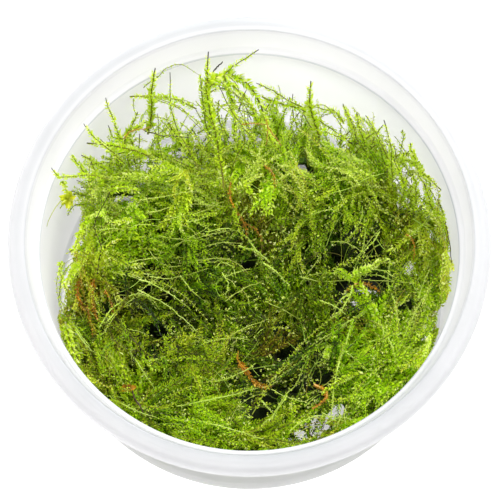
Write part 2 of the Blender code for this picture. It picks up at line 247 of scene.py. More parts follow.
section_points, section_painted_shades = rounded_section(CUP_SECTION)
cup_vertices, cup_triangles = turned(section_points, CUP_TURN_STEPS)
cup_painted_shades = np.append(np.tile(section_painted_shades[1:-1], CUP_TURN_STEPS), (0.0, 0.0))
cup_reach = np.hypot(cup_vertices[:, 0], cup_vertices[:, 1])
for (side_x, side_y), change in RIM_PAINTED_SHADES.items():
    to_side = np.clip((side_x * cup_vertices[:, 0] + side_y * cup_vertices[:, 1]) / RIM_RADII[-1], 0, 1)
    cup_painted_shades += to_side * (cup_vertices[:, 2] > RIM_FOOT) * np.interp(cup_reach, RIM_RADII, change)
far_floor_painted_shade_mask = (cup_vertices[:, 2] < FAR_FLOOR_TOP) & (cup_vertices[:, 2] > 0.0) & (cup_reach < FLOOR_EDGE)
cup_painted_shades += FAR_FLOOR_PAINTED_SHADE * far_floor_painted_shade_mask * np.clip(cup_vertices[:, 1] / RIM_RADII[-1], 0, 1)
cup_painted_shades = np.maximum(cup_painted_shades, 0.0)
cup_uv = np.stack([np.full(len(cup_painted_shades), 0.5), cup_painted_shades], axis=-1)
cup_middles = cup_vertices[cup_triangles].mean(axis=1)
on_floor = (np.hypot(cup_middles[:, 0], cup_middles[:, 1]) < FLOOR_EDGE) & (cup_middles[:, 2] < FLOOR_BELOW)
grown_piece("culture_cup", cup_vertices, cup_triangles, [polypropylene, polypropylene_floor],
            ["cup"], uv=cup_uv, material_index=on_floor.astype(int), smooth=True)

# ---------------------------------------------------------------------------------------------
# The heart of the moss mat. Under the leafy surface the tangle is shaded, brownish and so dense
# that it reads as one dark mass. It is the CAD mat, sunk and roughened, and the leafy shoots of
# the next sections cover its top, its side and its bottom.

HEART_SINK = 4.5
HEART_ROUGH = 2.2
HEART_ROUGH_SIZE = 3.0
HEART_STEP = 1.5
HEART_CELLS = 56
HEART_BOTTOM = 2.2
HEART_AMOUNT = 0.6
HEART_SMOOTHINGS = 3
HEART_LEAN_REACH = 3.0
HEART_THINNEST = 1.5
GAP_MARGIN = 0.8
HEART_CLOT = 2.2
MAT_REACH = 38.5
MAT_EDGE = 6
HEIGHT_STEP = 1.0
HEIGHT_REACH = 46.0
RAY_START = 60
MAT_FLOOR = 1.6
VIEW_SLOPE = 0.342

# Where the photo looks through the moss to the cup's floor and wall, and where it looks into dark
# hollows of the tangle: x, y and radius, carried down the line of sight to the floor's height. That
# line goes back by VIEW_SLOPE for each mm that it goes down.
SEEN_THROUGH = [
    (34.9, 8.4, 0.8), (-17.7, 35.4, 1.1), (-23, 35.2, 1.1), (-32.3, 33.8, 1.6), (-34.6, 28.6, 1),
    (19.4, -24.2, 1.3), (17.2, -25, 1.1), (15.9, -27.9, 0.8), (13.8, -26.6, 0.8), (-27.9, 23.2, 1.3),
    (-25.6, 23, 1.1), (-39.6, 18, 4.2), (-40.4, 13, 3), (-41.2, 9, 3.3), (-41.7, 5, 3), (-42.3, 1, 2.8),
    (-42.6, -3, 2.3), (41.6, -2.2, 2), (40.9, -5, 1.8), (-9, 37.4, 2), (-4, 37.6, 2.2), (32.1, 35.7, 2.2),
    (10.5, -29.1, 1.1), (29.8, 37.4, 1.4), (34, 32.8, 1.5), (16.7, 40.3, 1.8), (-38.6, 24.5, 1.8),
    (0.5, 37.4, 1.9), (18.9, 36.9, 2.6), (-22.1, 37.8, 1.6), (-27.5, 40, 2.2), (-14.5, 40.5, 2.2),
    (9, 41.5, 2.3), (-33, 37.5, 3), (31.4, 28.8, 1), (32.3, 26.2, 1), (33.3, 23.2, 0.9), (35.8, 26.1, 0.9),
    (36.8, 24.3, 0.9), (37.2, 18.2, 0.8), (11.3, 30.7, 0.9), (19.4, 34.2, 0.9), (-23.8, 30.2, 1.5),
    (-22.7, 31.6, 1.4), (-15.3, 33.3, 1.2), (-10.3, 32.2, 1.2),
]
DARK_HOLLOWS = [
    (-19.8, -6.4, 2), (-0.3, 8.3, 1.5), (19, 10.5, 2), (-18.6, -11, 1.2), (7.4, -12.1, 1.7),
    (1.4, -15.4, 1.4), (13.2, -12.3, 1.2), (16.7, -17.1, 1.8), (20, 3.7, 1.4), (26.7, 12.5, 2),
    (26.5, 3.7, 2.6), (33.4, -1, 1.2), (-17.4, 0, 1.3), (-21.9, 2.9, 1.2), (-26.5, 1.5, 1.3),
    (-29.8, -2.8, 1.2), (1.8, -24.4, 1.5), (4.9, -21.2, 1.5), (9.5, -19.5, 1.2),
]
HOLLOW_DEPTH = 5.0


def numbers(node):
    """A CAD node's points in mm and its triangles."""
    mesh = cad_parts[node].data
    mesh.calc_loop_triangles()
    points = np.array([v.co for v in mesh.vertices]) / MM
    return points, np.array([t.vertices for t in mesh.loop_triangles])


mat_points, mat_triangles = numbers("moss_mat")
mat_tree = BVHTree.FromPolygons([Vector(p) for p in mat_points], mat_triangles.tolist())
grid_line = np.arange(-HEIGHT_REACH, HEIGHT_REACH + HEIGHT_STEP, HEIGHT_STEP)
mat_heights = np.full((len(grid_line), len(grid_line)), MAT_FLOOR)
for i, grid_x in enumerate(grid_line):
    for j, grid_y in enumerate(grid_line):
        hit = mat_tree.ray_cast(Vector((grid_x, grid_y, RAY_START)), Vector((0, 0, -1)))[0]
        if hit is not None:
            mat_heights[i, j] = hit.z


def mat_height(x, y):
    """Height of the CAD mat's top at arrays of x and y, read from the grid between its points."""
    column = np.clip((x + HEIGHT_REACH) / HEIGHT_STEP, 0, len(grid_line) - 1.001)
    row = np.clip((y + HEIGHT_REACH) / HEIGHT_STEP, 0, len(grid_line) - 1.001)
    i, j = column.astype(int), row.astype(int)
    u, v = column - i, row - j
    low = mat_heights[i, j] * (1 - u) + mat_heights[i + 1, j] * u
    high = mat_heights[i, j + 1] * (1 - u) + mat_heights[i + 1, j + 1] * u
    return low * (1 - v) + high * v


def well_radius(z):
    """Inner radius of the cup at heights z."""
    return np.interp(z, WELL_HEIGHTS, WELL_RADII)


def depth_in_gaps(points, gaps):
    """How far inside a gap's slanted line of sight the points lie, in mm, negative outside."""
    at_floor = points[..., 1] + VIEW_SLOPE * (points[..., 2] - MAT_FLOOR)
    wave = np.sin(1.9 * points[..., 0] + 2.3 * at_floor) * np.sin(2.7 * points[..., 0] - 1.1 * at_floor)
    inside = [radius - np.hypot(points[..., 0] - x, at_floor - y) for x, y, radius in gaps]
    return np.max(inside, axis=0) + 0.6 * wave


def clear_of(lines, gaps):
    """Which lines lie clear of every gap."""
    return (depth_in_gaps(lines, gaps) < 0).all(axis=1)


# How the growth varies: x and y in mm, direction in degrees (0 right, 90 back), lushness, age
# and amount. Lushness also carries painted light and shade: it is set high where the back is
# bright and low in the shaded hollow. Between these places the values blend.
GROWTH = [
    (-36, 20, 165, 0.93, 0.12, 0.4), (-29, 25, 140, 0.94, 0.12, 0.4), (-32, 14, 150, 0.97, 0.15, 1),
    (-21, 26, 160, 0.94, 0.1, 0.45), (-25, 18, 170, 0.95, 0.08, 1.1), (-22, 13, 175, 0.94, 0.08, 1.1),
    (-14, 19, 150, 0.8, 0.14, 1.1), (-12, 28, 120, 0.88, 0.18, 0.7), (-13, 13, 165, 0.5, 0.08, 1),
    (-8, 17, 110, 0.8, 0.32, 1), (-3, 20, 95, 0.87, 0.26, 1), (-2, 27, 95, 0.9, 0.18, 0.7),
    (-1.5, 11, 60, 0.46, 0.6, 0.9), (8, 25, 95, 0.84, 0.15, 1.1), (9, 17, 90, 0.74, 0.28, 1),
    (18, 22, 80, 0.88, 0.15, 1.1), (19, 15, 60, 0.46, 0.12, 1), (27, 24, 100, 0.9, 0.2, 1.1),
    (28, 16, 80, 0.74, 0.2, 1.1), (30, 9, 80, 0.54, 0.6, 0.9), (35, 16, 110, 0.84, 0.26, 0.8),
    (39, 6, 95, 0.84, 0.34, 1), (-37, 3, 100, 0.9, 0.12, 1.1), (-34, 7, 120, 0.78, 0.28, 1),
    (-27, 6, 170, 0.52, 0.34, 1), (-16, 8, 10, 0.33, 0.06, 0.9), (-17, 1, 5, 0.28, 0.08, 0.8),
    (-5, 3, 20, 0.32, 0.14, 0.9), (3, 8, 60, 0.42, 0.35, 0.9), (15, 4, 90, 0.3, 0.12, 0.7),
    (22, 9, 50, 0.17, 0.08, 0.7), (25, -3, 0, 0.16, 0.15, 0.5), (34, 3, 90, 0.62, 0.36, 0.8),
    (-34, -5, 95, 0.58, 0.75, 1), (-34, -13, 95, 0.56, 0.62, 1), (-38, -8, 95, 0.8, 0.22, 1.1),
    (-28, -11, 60, 0.2, 0.5, 0.7), (-21, -10, 20, 0.04, 0.4, 0.75), (-9, -8, 150, 0.38, 0.2, 1),
    (3, -6, 120, 0.41, 0.22, 1), (14, -9, 60, 0.41, 0.24, 1), (23, -12, 30, 0.36, 0.1, 1),
    (33, -12, 110, 0.76, 0.22, 1), (37, -4, 100, 0.74, 0.38, 0.9), (-31, -20, 130, 0.6, 0.22, 1),
    (-27, -26, 130, 0.6, 0.34, 1), (-18, -28, 30, 0.52, 0.22, 1), (-7, -27, 60, 0.57, 0.2, 1.1),
    (0, -21, 20, 0.19, 0.75, 0.8), (11, -22, 40, 0.12, 0.15, 0.7), (10, -30, 40, 0.24, 0.2, 0.9),
    (20, -24, 70, 0.5, 0.15, 1), (29, -21, 80, 0.76, 0.12, 1.1), (-5, -37, 10, 0.56, 0.16, 1),
    (4, -37, 10, 0.6, 0.3, 1), (15, -33, 20, 0.64, 0.32, 0.8), (-18, -36, 10, 0.62, 0.34, 1),
]
GROWTH_BLEND = 3.6


def growth_at(x, y):
    """Direction in radians, lushness, age and amount of the growth at arrays of x and y."""
    table = np.array(GROWTH, float)
    gap = (x[:, None] - table[:, 0]) ** 2 + (y[:, None] - table[:, 1]) ** 2
    weight = np.exp(-gap / (2 * GROWTH_BLEND ** 2)) + 1e-4 / (1 + gap)
    weight /= weight.sum(axis=1, keepdims=True)
    flow = np.radians(table[:, 2])
    direction = np.arctan2(weight @ np.sin(flow), weight @ np.cos(flow))
    return direction, weight @ table[:, 3], weight @ table[:, 4], weight @ table[:, 5]


# A level grid, less its cells beyond the mat, in the gaps and where the growth is thin.
heart = bmesh.new()
bmesh.ops.create_grid(heart, x_segments=HEART_CELLS, y_segments=HEART_CELLS,
                      size=HEART_CELLS / 2 * HEART_STEP)
outside = []
for cell in heart.faces:
    middle = np.array(cell.calc_center_median())
    middle[2] = mat_height(middle[0], middle[1])
    amount = growth_at(middle[None, 0], middle[None, 1])[3][0]
    far = math.hypot(middle[0], middle[1]) > MAT_REACH
    open_there = depth_in_gaps(middle, SEEN_THROUGH) > -GAP_MARGIN
    if far or open_there or amount < HEART_AMOUNT or middle[2] < MAT_FLOOR + MAT_EDGE:
        outside.append(cell)
bmesh.ops.delete(heart, geom=outside, context="FACES")
for _ in range(HEART_SMOOTHINGS):
    rim_points = [v for v in heart.verts if v.is_boundary]
    bmesh.ops.smooth_vert(heart, verts=rim_points, factor=0.5, use_axis_x=True, use_axis_y=True)

# The sheet gets an underside. Near a gap it leans back along the line of sight, so that the photo
# looks straight through the gap.
below = bmesh.ops.extrude_face_region(heart, geom=heart.faces[:])
under = {v for v in below["geom"] if isinstance(v, bmesh.types.BMVert)}
for point in heart.verts:
    rough = HEART_ROUGH * noise.noise(Vector((point.co.x, point.co.y, 0)) / HEART_ROUGH_SIZE)
    if point in under:
        fall = float(mat_height(point.co.x, point.co.y)) - HEART_SINK - HEART_BOTTOM
        ahead = point.co.y + VIEW_SLOPE * fall
        nearest = min(math.hypot(point.co.x - x, ahead - y) - r for x, y, r in SEEN_THROUGH)
        point.co.y += VIEW_SLOPE * fall * math.exp(-max(nearest, 0.0) / HEART_LEAN_REACH)
        point.co.z = HEART_BOTTOM + 0.3 * rough
    else:
        top = np.array([point.co.x, point.co.y, float(mat_height(point.co.x, point.co.y))])
        dent = HOLLOW_DEPTH * min(max(depth_in_gaps(top, DARK_HOLLOWS) + 1.0, 0.0), 1.0)
        point.co.z = max(top[2] - HEART_SINK - dent + rough, HEART_BOTTOM + HEART_THINNEST)
bmesh.ops.recalc_face_normals(heart, faces=heart.faces)
bmesh.ops.triangulate(heart, faces=heart.faces)
heart.verts.index_update()
heart_points = np.array([v.co for v in heart.verts])
heart_triangles = np.array([[v.index for v in f.verts] for f in heart.faces])
heart.free()

# It is greener where the growth over it is in full leaf. At the edges of the gaps it is painted
# lighter and greener, as painted light; lower down and in the hollows it gets painted shade.
_, heart_lush_and_lit, heart_age, _ = growth_at(heart_points[:, 0], heart_points[:, 1])
heart_fresh_and_lit = np.clip((heart_lush_and_lit - 0.34) / 0.3, 0, 1) * np.clip(heart_points[:, 2] / 12 - 0.3, 0, 1)
heart_fresh_and_lit = np.maximum(heart_fresh_and_lit, np.clip(depth_in_gaps(heart_points, SEEN_THROUGH) / 2 + 1.5, 0, 0.8))
heart_fresh_and_lit *= 1 - np.clip(depth_in_gaps(heart_points, DARK_HOLLOWS) + 1.5, 0, 1)

# Old moss, matt, with painted shade: nearly black in the hollow where no light reaches, and green
# where the growth over it is young and thin.
old_moss_painted_shade = blank_material("moss_heart_old_painted_shade")
tree = old_moss_painted_shade.node_tree
place_in_mat = add(tree, "ShaderNodeTexCoord")
clots = add(tree, "ShaderNodeTexNoise", {
    "Vector": place_in_mat.outputs["Object"], "Scale": 1 / (HEART_CLOT * MM), "Detail": 4.0,
    "Roughness": 0.65,
})
growth_place = add(tree, "ShaderNodeUVMap", uv_map="OFBake")
growth_split = add(tree, "ShaderNodeSeparateXYZ", {"Vector": growth_place.outputs["UV"]})
heart_colour = add(tree, "ShaderNodeMix", {"Factor": growth_split.outputs["X"]}, data_type="RGBA")
for socket, (low, high) in (("A", ("#12190A", "#35480F")), ("B", ("#3F5E0C", "#8DB81A"))):
    shade = add(tree, "ShaderNodeValToRGB", {"Fac": clots.outputs["Fac"]})
    shade.color_ramp.elements[0].position = 0.35
    shade.color_ramp.elements[0].color = linear(low)
    shade.color_ramp.elements[1].position = 0.72
    shade.color_ramp.elements[1].color = linear(high)
    tree.links.new(shade.outputs["Color"], heart_colour.inputs[socket])
soaked = add(tree, "ShaderNodeBsdfPrincipled", {
    "Base Color": heart_colour.outputs["Result"], "Roughness": 0.85,
})
add(tree, "ShaderNodeOutputMaterial", {"Surface": soaked.outputs["BSDF"]})

heart_uv = np.stack([heart_fresh_and_lit, np.clip(heart_age, 0, 1)], axis=-1)
grown_piece("moss_heart", heart_points, heart_triangles, [old_moss_painted_shade], ["moss_mat"],
            uv=heart_uv, smooth=True)

# ---------------------------------------------------------------------------------------------
# The leafy surface of the mat. Every shoot is a thin wiry stem with tiny pointed leaves set round
# it in a slow spiral, and thousands of them lie over each other. They grow towards the back and
# the sides, fresh at the back and old in the hollow in front of it, and their tone carries painted
# light, bright at the back, and painted shade, dark in that hollow.

GROWTH_MOST = 1.1
MAT_BUNDLES = 560
BUNDLE = 8
BUNDLE_SPREAD = 1.0
SIDE_SHOOTS = 1100
UNDER_SHOOTS = 450
SIDE_LEAVES = 30
MAT_SHOOT_LENGTH = 10.0
MAT_SHOOT_POINTS = 7
MAT_LEAVES = 42
LEAF_LENGTH = 0.9
LEAF_WIDTH = 0.55
LEAF_SPREAD = 1.0
LEAF_FOLD = 0.4
LEAF_TURN = 2.2
LEAF_START = 0.04
STEM_RADIUS = 0.11
STEM_TAPER = 0.5
STEM_DARKER = 0.1
# Share of leaves painted pale, as painted highlights.
PAINTED_GLINT_LEAVES = 0.04
WALL_MARGIN = 0.9
FLOOR_MARGIN = 0.6

moss_draw = np.random.default_rng(20)


def unit(vectors):
    """Vectors of length 1."""
    return vectors / np.maximum(np.linalg.norm(vectors, axis=-1, keepdims=True), 1e-9)


def grown_lines(draw, roots, azimuth, pitch, length, wander, droop, points):
    """Centre lines of shoots [shoot, point, xyz] that wander sideways and droop as they grow."""
    count = len(roots)
    step = length / (points - 1)
    lines = np.empty((count, points, 3))
    lines[:, 0] = roots
    heading, rise = azimuth.copy(), pitch.copy()
    turn = draw.normal(0, wander, count)
    for i in range(1, points):
        heading = heading + turn / points + draw.normal(0, wander * 0.7, count) / points
        rise = rise - droop / points
        flat = np.cos(rise)
        ahead = np.stack([flat * np.cos(heading), flat * np.sin(heading), np.sin(rise)], axis=-1)
        lines[:, i] = lines[:, i - 1] + ahead * step[:, None]
    return lines


def kept_in_well(lines, margin=WALL_MARGIN):
    """Lines drawn in where they would pass through the cup's wall or floor."""
    lines[..., 2] = np.maximum(lines[..., 2], MAT_FLOOR + FLOOR_MARGIN)
    reach = np.hypot(lines[..., 0], lines[..., 1])
    pull = np.minimum(1.0, (well_radius(lines[..., 2]) - margin) / np.maximum(reach, 1e-6))
    lines[..., :2] *= pull[..., None]
    return lines


def frames_along(lines):
    """Unit tangent and two normals at each point of each line."""
    tangent = unit(np.gradient(lines, axis=1))
    steady = np.where(np.abs(tangent[..., 2:3]) > 0.9, (1.0, 0.0, 0.0), (0.0, 0.0, 1.0))
    side = unit(np.cross(tangent, steady))
    return tangent, side, np.cross(side, tangent)


def stems(lines, radius, tip_share, tone, hue, sides=3):
    """Tubes along the lines, closed at the tip. Returns points, triangles and UV (tone, hue)."""
    count, points, _ = lines.shape
    _, side, up = frames_along(lines)
    turn = np.arange(sides) * 2 * math.pi / sides
    taper = np.linspace(1.0, tip_share, points)[None, :, None, None]
    thick = np.broadcast_to(radius, count).reshape(-1, 1, 1, 1) * taper
    ring = side[:, :, None] * np.cos(turn)[:, None] + up[:, :, None] * np.sin(turn)[:, None]
    vertices = (lines[:, :, None] + ring * thick).reshape(-1, 3)
    first = (np.arange(count) * points * sides)[:, None, None]
    a = first + (np.arange(points - 1) * sides)[:, None] + np.arange(sides)
    b = first + (np.arange(points - 1) * sides)[:, None] + (np.arange(sides) + 1) % sides
    quads = np.stack([a, b, b + sides, a + sides], axis=-1).reshape(-1, 4)
    fan = np.stack([np.zeros(sides - 2, int), np.arange(1, sides - 1), np.arange(2, sides)], axis=-1)
    starts = (np.arange(count) * points * sides)[:, None, None]
    ends = (starts + (points - 1) * sides + fan).reshape(-1, 3)
    roots = (starts + fan[:, ::-1]).reshape(-1, 3)
    triangles = np.vstack([halved(quads), ends, roots])
    uv = np.empty((count, points, sides, 2))
    uv[..., 0] = np.broadcast_to(tone.reshape(count, -1), (count, points))[:, :, None]
    uv[..., 1] = hue[:, None, None]
    return vertices, triangles, uv.reshape(-1, 2)


def leaves(draw, lines, per_line, length, width, spread, tone, hue, stop=1.0, pale=0.0, scale=None,
           whorl=1):
    """Folded pointed leaves set round each line. Returns points, triangles and UV (tone, hue)."""
    count, points, _ = lines.shape
    shape = (count, per_line)
    step = np.arange(per_line) // whorl * whorl + draw.uniform(0.1, 0.9, shape)
    along = LEAF_START + (stop - LEAF_START) * step / per_line
    place = np.clip(along, 0, 1) * (points - 1.001)
    low = place.astype(int)
    part = (place - low)[..., None]
    rows = np.arange(count)[:, None]
    base = lines[rows, low] * (1 - part) + lines[rows, low + 1] * part
    tangent, side, up = (v[rows, low] for v in frames_along(lines))
    angle = np.arange(per_line) * LEAF_TURN + draw.uniform(0, 6.28, (count, 1)) + draw.normal(0, 0.25, shape)
    out = side * np.cos(angle)[..., None] + up * np.sin(angle)[..., None]
    lean = (spread + draw.normal(0, 0.2, shape))[..., None]
    axis = unit(tangent * np.cos(lean) + out * np.sin(lean))
    across = unit(np.cross(axis, out + tangent * 0.01))
    face = np.cross(across, axis)
    size = (draw.uniform(0.7, 1.25, shape) * (1.0 - 0.4 * along ** 3))[..., None]
    if scale is not None:
        size = size * scale[:, None, None]
    long, half = length * size, width * size / 2
    middle = base + axis * long * 0.45
    left = middle + (across + face * LEAF_FOLD) * half
    right = middle + (face * LEAF_FOLD - across) * half
    tip = base + (axis - face * 0.15) * long
    vertices = np.stack([base, left, right, tip], axis=2).reshape(-1, 3)
    first = np.arange(count * per_line)[:, None] * 4
    triangles = np.vstack([first + [0, 2, 3], first + [0, 3, 1]])
    leaf_tone = tone[:, None] + draw.normal(0, 0.08, shape) + 0.10 * (along - 0.5)
    # Painted highlights: a share of the leaves, given by pale, is painted much paler, as glints on wet
    # leaves.
    leaf_tone = leaf_tone + 0.4 * (draw.uniform(0, 1, shape) < pale)
    uv = np.empty((*shape, 4, 2))
    uv[..., 0] = np.clip(leaf_tone[..., None] + np.array([-0.12, 0.0, 0.0, 0.12]), 0.01, 0.99)
    uv[..., 1] = np.clip(hue[:, None] + draw.normal(0, 0.07, shape), 0.01, 0.99)[..., None]
    return vertices, triangles, uv.reshape(-1, 2)


def joined(parts):
    """(points, triangles, uv, material number) parts joined into one of each."""
    offset = 0
    gathered = [[], [], [], []]
    for (vertices, triangles, uv), number in parts:
        gathered[0].append(vertices)
        gathered[1].append(triangles + offset)
        gathered[2].append(uv)
        gathered[3].append(np.full(len(triangles), number))
        offset += len(vertices)
    return [np.concatenate(values) for values in gathered]


def moss_piece(name, parts, nodes, leaf=None):
    """One mesh object of leaves and stems that stands for the named CAD nodes."""
    points, triangles, uv, index = joined(parts)
    grown_piece(name, points, triangles, [leaf or moss_leaf, moss_stem], nodes, uv=uv,
                material_index=index)


def palette_material(name, fresh, aged, roughness, see_through):
    """Plant tissue whose colour runs along U from dark to pale, and along V from fresh to aged."""
    material = blank_material(name)
    tree = material.node_tree
    place = add(tree, "ShaderNodeUVMap", uv_map="OFBake")
    split = add(tree, "ShaderNodeSeparateXYZ", {"Vector": place.outputs["UV"]})
    colour = add(tree, "ShaderNodeMix", {"Factor": split.outputs["Y"]}, data_type="RGBA")
    for socket, stops in (("A", fresh), ("B", aged)):
        ramp = add(tree, "ShaderNodeValToRGB", {"Fac": split.outputs["X"]})
        while len(ramp.color_ramp.elements) < len(stops):
            ramp.color_ramp.elements.new(0.5)
        for element, (position, stop) in zip(ramp.color_ramp.elements, stops):
            element.position = position
            element.color = linear(stop)
        tree.links.new(ramp.outputs["Color"], colour.inputs[socket])
    surface = add(tree, "ShaderNodeBsdfPrincipled", {
        "Base Color": colour.outputs["Result"], "Roughness": roughness, "IOR": 1.4,
    })
    shown = surface.outputs["BSDF"]
    if see_through:
        through = add(tree, "ShaderNodeBsdfTranslucent", {"Color": colour.outputs["Result"]})
        shown = add(tree, "ShaderNodeMixShader", {
            0: see_through, 1: shown, 2: through.outputs["BSDF"],
        }).outputs["Shader"]
    add(tree, "ShaderNodeOutputMaterial", {"Surface": shown})
    return material


# Wet moss leaves are one cell thick, so they glow where light comes through them.
moss_leaf = palette_material(
    "moss_leaf_thin_wet",
    [(0.0, "#22380A"), (0.25, "#669612"), (0.5, "#AEDE10"), (0.78, "#D8F61E"), (1.0, "#F6FF98")],
    [(0.0, "#38300C"), (0.25, "#807818"), (0.5, "#C6BC2A"), (0.75, "#ECE458"), (1.0, "#FBF8D4")],
    0.4, 0.5)

# Moss stems are wiry and waxy, nearly black at an old tip, lime where young, brown where dead.
moss_stem = palette_material(
    "moss_stem_wiry",
    [(0.0, "#0E1009"), (0.3, "#39440F"), (0.6, "#6E8C1E"), (1.0, "#B9DC5A")],
    [(0.0, "#160C08"), (0.3, "#6A4612"), (0.6, "#B4802A"), (1.0, "#E0BC70")],
    0.45, 0.0)

# Shoots grow in small bundles that share a direction, a tone and a leaf size, from which each shoot
# strays a little. One bundle in five grows the other way. At the back they rise more steeply.
TURNED_BACK = 0.2
ROOT_SINK = 0.3
ROOT_DEEPEST = 3.2
BUNDLE_TURN = 0.55
SHOOT_TURN = 0.2
FRONT_RISE_DEGREES = 12
BACK_EXTRA_DEGREES = 12
BACK_FROM = 12
BUNDLE_RISE = 0.2
SHOOT_RISE = 0.1
DEEP_PAINTED_SHADE = 0.16
BUNDLE_TONE = 0.08
SHOOT_TINT = 0.04
LEAF_SCALES = [0.75, 1.0, 1.5]
LEAF_SCALE_SHARES = [0.35, 0.4, 0.25]
x = moss_draw.uniform(-42, 42, MAT_BUNDLES * 4)
y = moss_draw.uniform(-42, 34, MAT_BUNDLES * 4)
amount = growth_at(x, y)[3]
kept = (mat_height(x, y) > MAT_FLOOR + MAT_EDGE) & (amount > moss_draw.uniform(0, GROWTH_MOST, len(x)))
x, y = (np.repeat(values[kept][:MAT_BUNDLES], BUNDLE) for values in (x, y))
x = x + moss_draw.normal(0, BUNDLE_SPREAD, len(x))
y = y + moss_draw.normal(0, BUNDLE_SPREAD, len(y))
flow, lush_and_lit, age, _ = growth_at(x, y)
turned_back = math.pi * (moss_draw.uniform(0, 1, MAT_BUNDLES) < TURNED_BACK)
depth = np.repeat(moss_draw.uniform(0.0, 1.0, MAT_BUNDLES) ** 1.5, BUNDLE)
root_height = mat_height(x, y) - ROOT_SINK - ROOT_DEEPEST * depth + moss_draw.normal(0, 0.4, len(x))
roots = np.stack([x, y, root_height], axis=-1)
heading = flow + np.repeat(moss_draw.normal(0, BUNDLE_TURN, MAT_BUNDLES) + turned_back, BUNDLE)
heading = heading + moss_draw.normal(0, SHOOT_TURN, len(x))
rise = np.radians(FRONT_RISE_DEGREES + BACK_EXTRA_DEGREES * (y > BACK_FROM))
rise = rise + np.repeat(moss_draw.normal(0, BUNDLE_RISE, MAT_BUNDLES), BUNDLE)
rise = rise + moss_draw.normal(0, SHOOT_RISE, len(x))
size = MAT_SHOOT_LENGTH * moss_draw.uniform(0.6, 1.35, len(x))
mat_lines = grown_lines(moss_draw, roots, heading, rise, size, 0.7, 0.4, MAT_SHOOT_POINTS)
heart_top = mat_height(mat_lines[..., 0], mat_lines[..., 1]) - HEART_SINK + 0.8
mat_lines[..., 2] = np.maximum(mat_lines[..., 2], np.minimum(heart_top, mat_lines[..., 2] + 3.0))
mat_lines = kept_in_well(mat_lines)
# Bundles rooted deeper get painted shade: their tone is made darker the deeper they sit.
tone = lush_and_lit - DEEP_PAINTED_SHADE * depth + np.repeat(moss_draw.normal(0, BUNDLE_TONE, MAT_BUNDLES), BUNDLE)
tone = np.clip(tone + moss_draw.normal(0, SHOOT_TINT, len(x)), 0.03, 0.87)
hue = age + (0.05 + 0.3 * age) * np.repeat(moss_draw.normal(0, 1, MAT_BUNDLES), BUNDLE)
hue = np.clip(hue + moss_draw.normal(0, SHOOT_TINT, len(x)), 0.01, 0.99)
leaf_scale = np.repeat(moss_draw.choice(LEAF_SCALES, MAT_BUNDLES, p=LEAF_SCALE_SHARES), BUNDLE)
clear = clear_of(mat_lines, SEEN_THROUGH + DARK_HOLLOWS)

MAT_QUARTERS = {
    "moss_back_left": (x < 0) & (y >= 8), "moss_back_right": (x >= 0) & (y >= 8),
    "moss_middle": (y < 8) & (y >= -12), "moss_front": y < -12,
}
for quarter, inside in MAT_QUARTERS.items():
    pick = inside & clear
    lines, t, h = mat_lines[pick], tone[pick], hue[pick]
    stem_tone = np.clip(t - STEM_DARKER, 0, 1)
    moss_piece(quarter, [
        (leaves(moss_draw, lines, MAT_LEAVES, LEAF_LENGTH, LEAF_WIDTH, LEAF_SPREAD, t, h,
                pale=PAINTED_GLINT_LEAVES, scale=leaf_scale[pick]), 0),
        (stems(lines, STEM_RADIUS, STEM_TAPER, stem_tone, h), 1),
    ], ["moss_mat"])

# The mat's side, pressed against the cup, and its flattened underside.
angle = moss_draw.uniform(-math.pi, math.pi, SIDE_SHOOTS)
height = moss_draw.uniform(3.0, 28.0, SIDE_SHOOTS)
to_wall = (angle > -0.6) & (angle < 0.45) & (height > 14) & (moss_draw.uniform(0, 1, SIDE_SHOOTS) < 0.8)
roots = []
for turn, level, near_wall in zip(angle, height, to_wall):
    outward = Vector((math.cos(turn), math.sin(turn), 0))
    hit = mat_tree.ray_cast(outward * RAY_START + Vector((0, 0, level)), -outward)[0]
    reach = 0.0 if hit is None else math.hypot(hit.x, hit.y) + moss_draw.uniform(-3.0, 0.7)
    if near_wall:
        reach = float(well_radius(level)) - 2.0
    roots.append(outward * reach + Vector((0, 0, level)))
roots = np.array(roots)
on_side = np.hypot(roots[:, 0], roots[:, 1]) > 20
roots, angle, height = roots[on_side], angle[on_side], height[on_side]
_, lush_and_lit, age, _ = growth_at(roots[:, 0], roots[:, 1])
way = np.where(moss_draw.uniform(0, 1, len(roots)) < 0.5, 1, -1)
heading = angle + way * (math.pi / 2 - moss_draw.uniform(-0.1, 0.5, len(roots)))
rise = moss_draw.uniform(-0.2, 1.1, len(roots))
side_lines = kept_in_well(grown_lines(
    moss_draw, roots, heading, rise, moss_draw.uniform(5, 11, len(roots)), 0.6, 0.5, MAT_SHOOT_POINTS))
# Painted shade: side shoots are darker the lower they sit on the side.
side_tone = np.clip(lush_and_lit * (0.6 + 0.4 * height / 28) + moss_draw.normal(0, 0.09, len(roots)), 0.05, 0.9)
side_hue = np.clip(age + moss_draw.normal(0, 0.15, len(roots)), 0.01, 0.99)
wide = moss_draw.uniform(0, 2 * math.pi, UNDER_SHOOTS)
out = 38 * np.sqrt(moss_draw.uniform(0, 1, UNDER_SHOOTS))
roots = np.stack([out * np.cos(wide), out * np.sin(wide), np.full(UNDER_SHOOTS, MAT_FLOOR + 1.2)], axis=-1)
roots = roots[mat_height(roots[:, 0], roots[:, 1]) > MAT_FLOOR + MAT_EDGE]
heading = moss_draw.uniform(0, 2 * math.pi, len(roots))
under_lines = kept_in_well(grown_lines(
    moss_draw, roots, heading, np.zeros(len(roots)), moss_draw.uniform(5, 11, len(roots)), 1.0, 0.0,
    MAT_SHOOT_POINTS))
lines = np.concatenate([side_lines, under_lines])
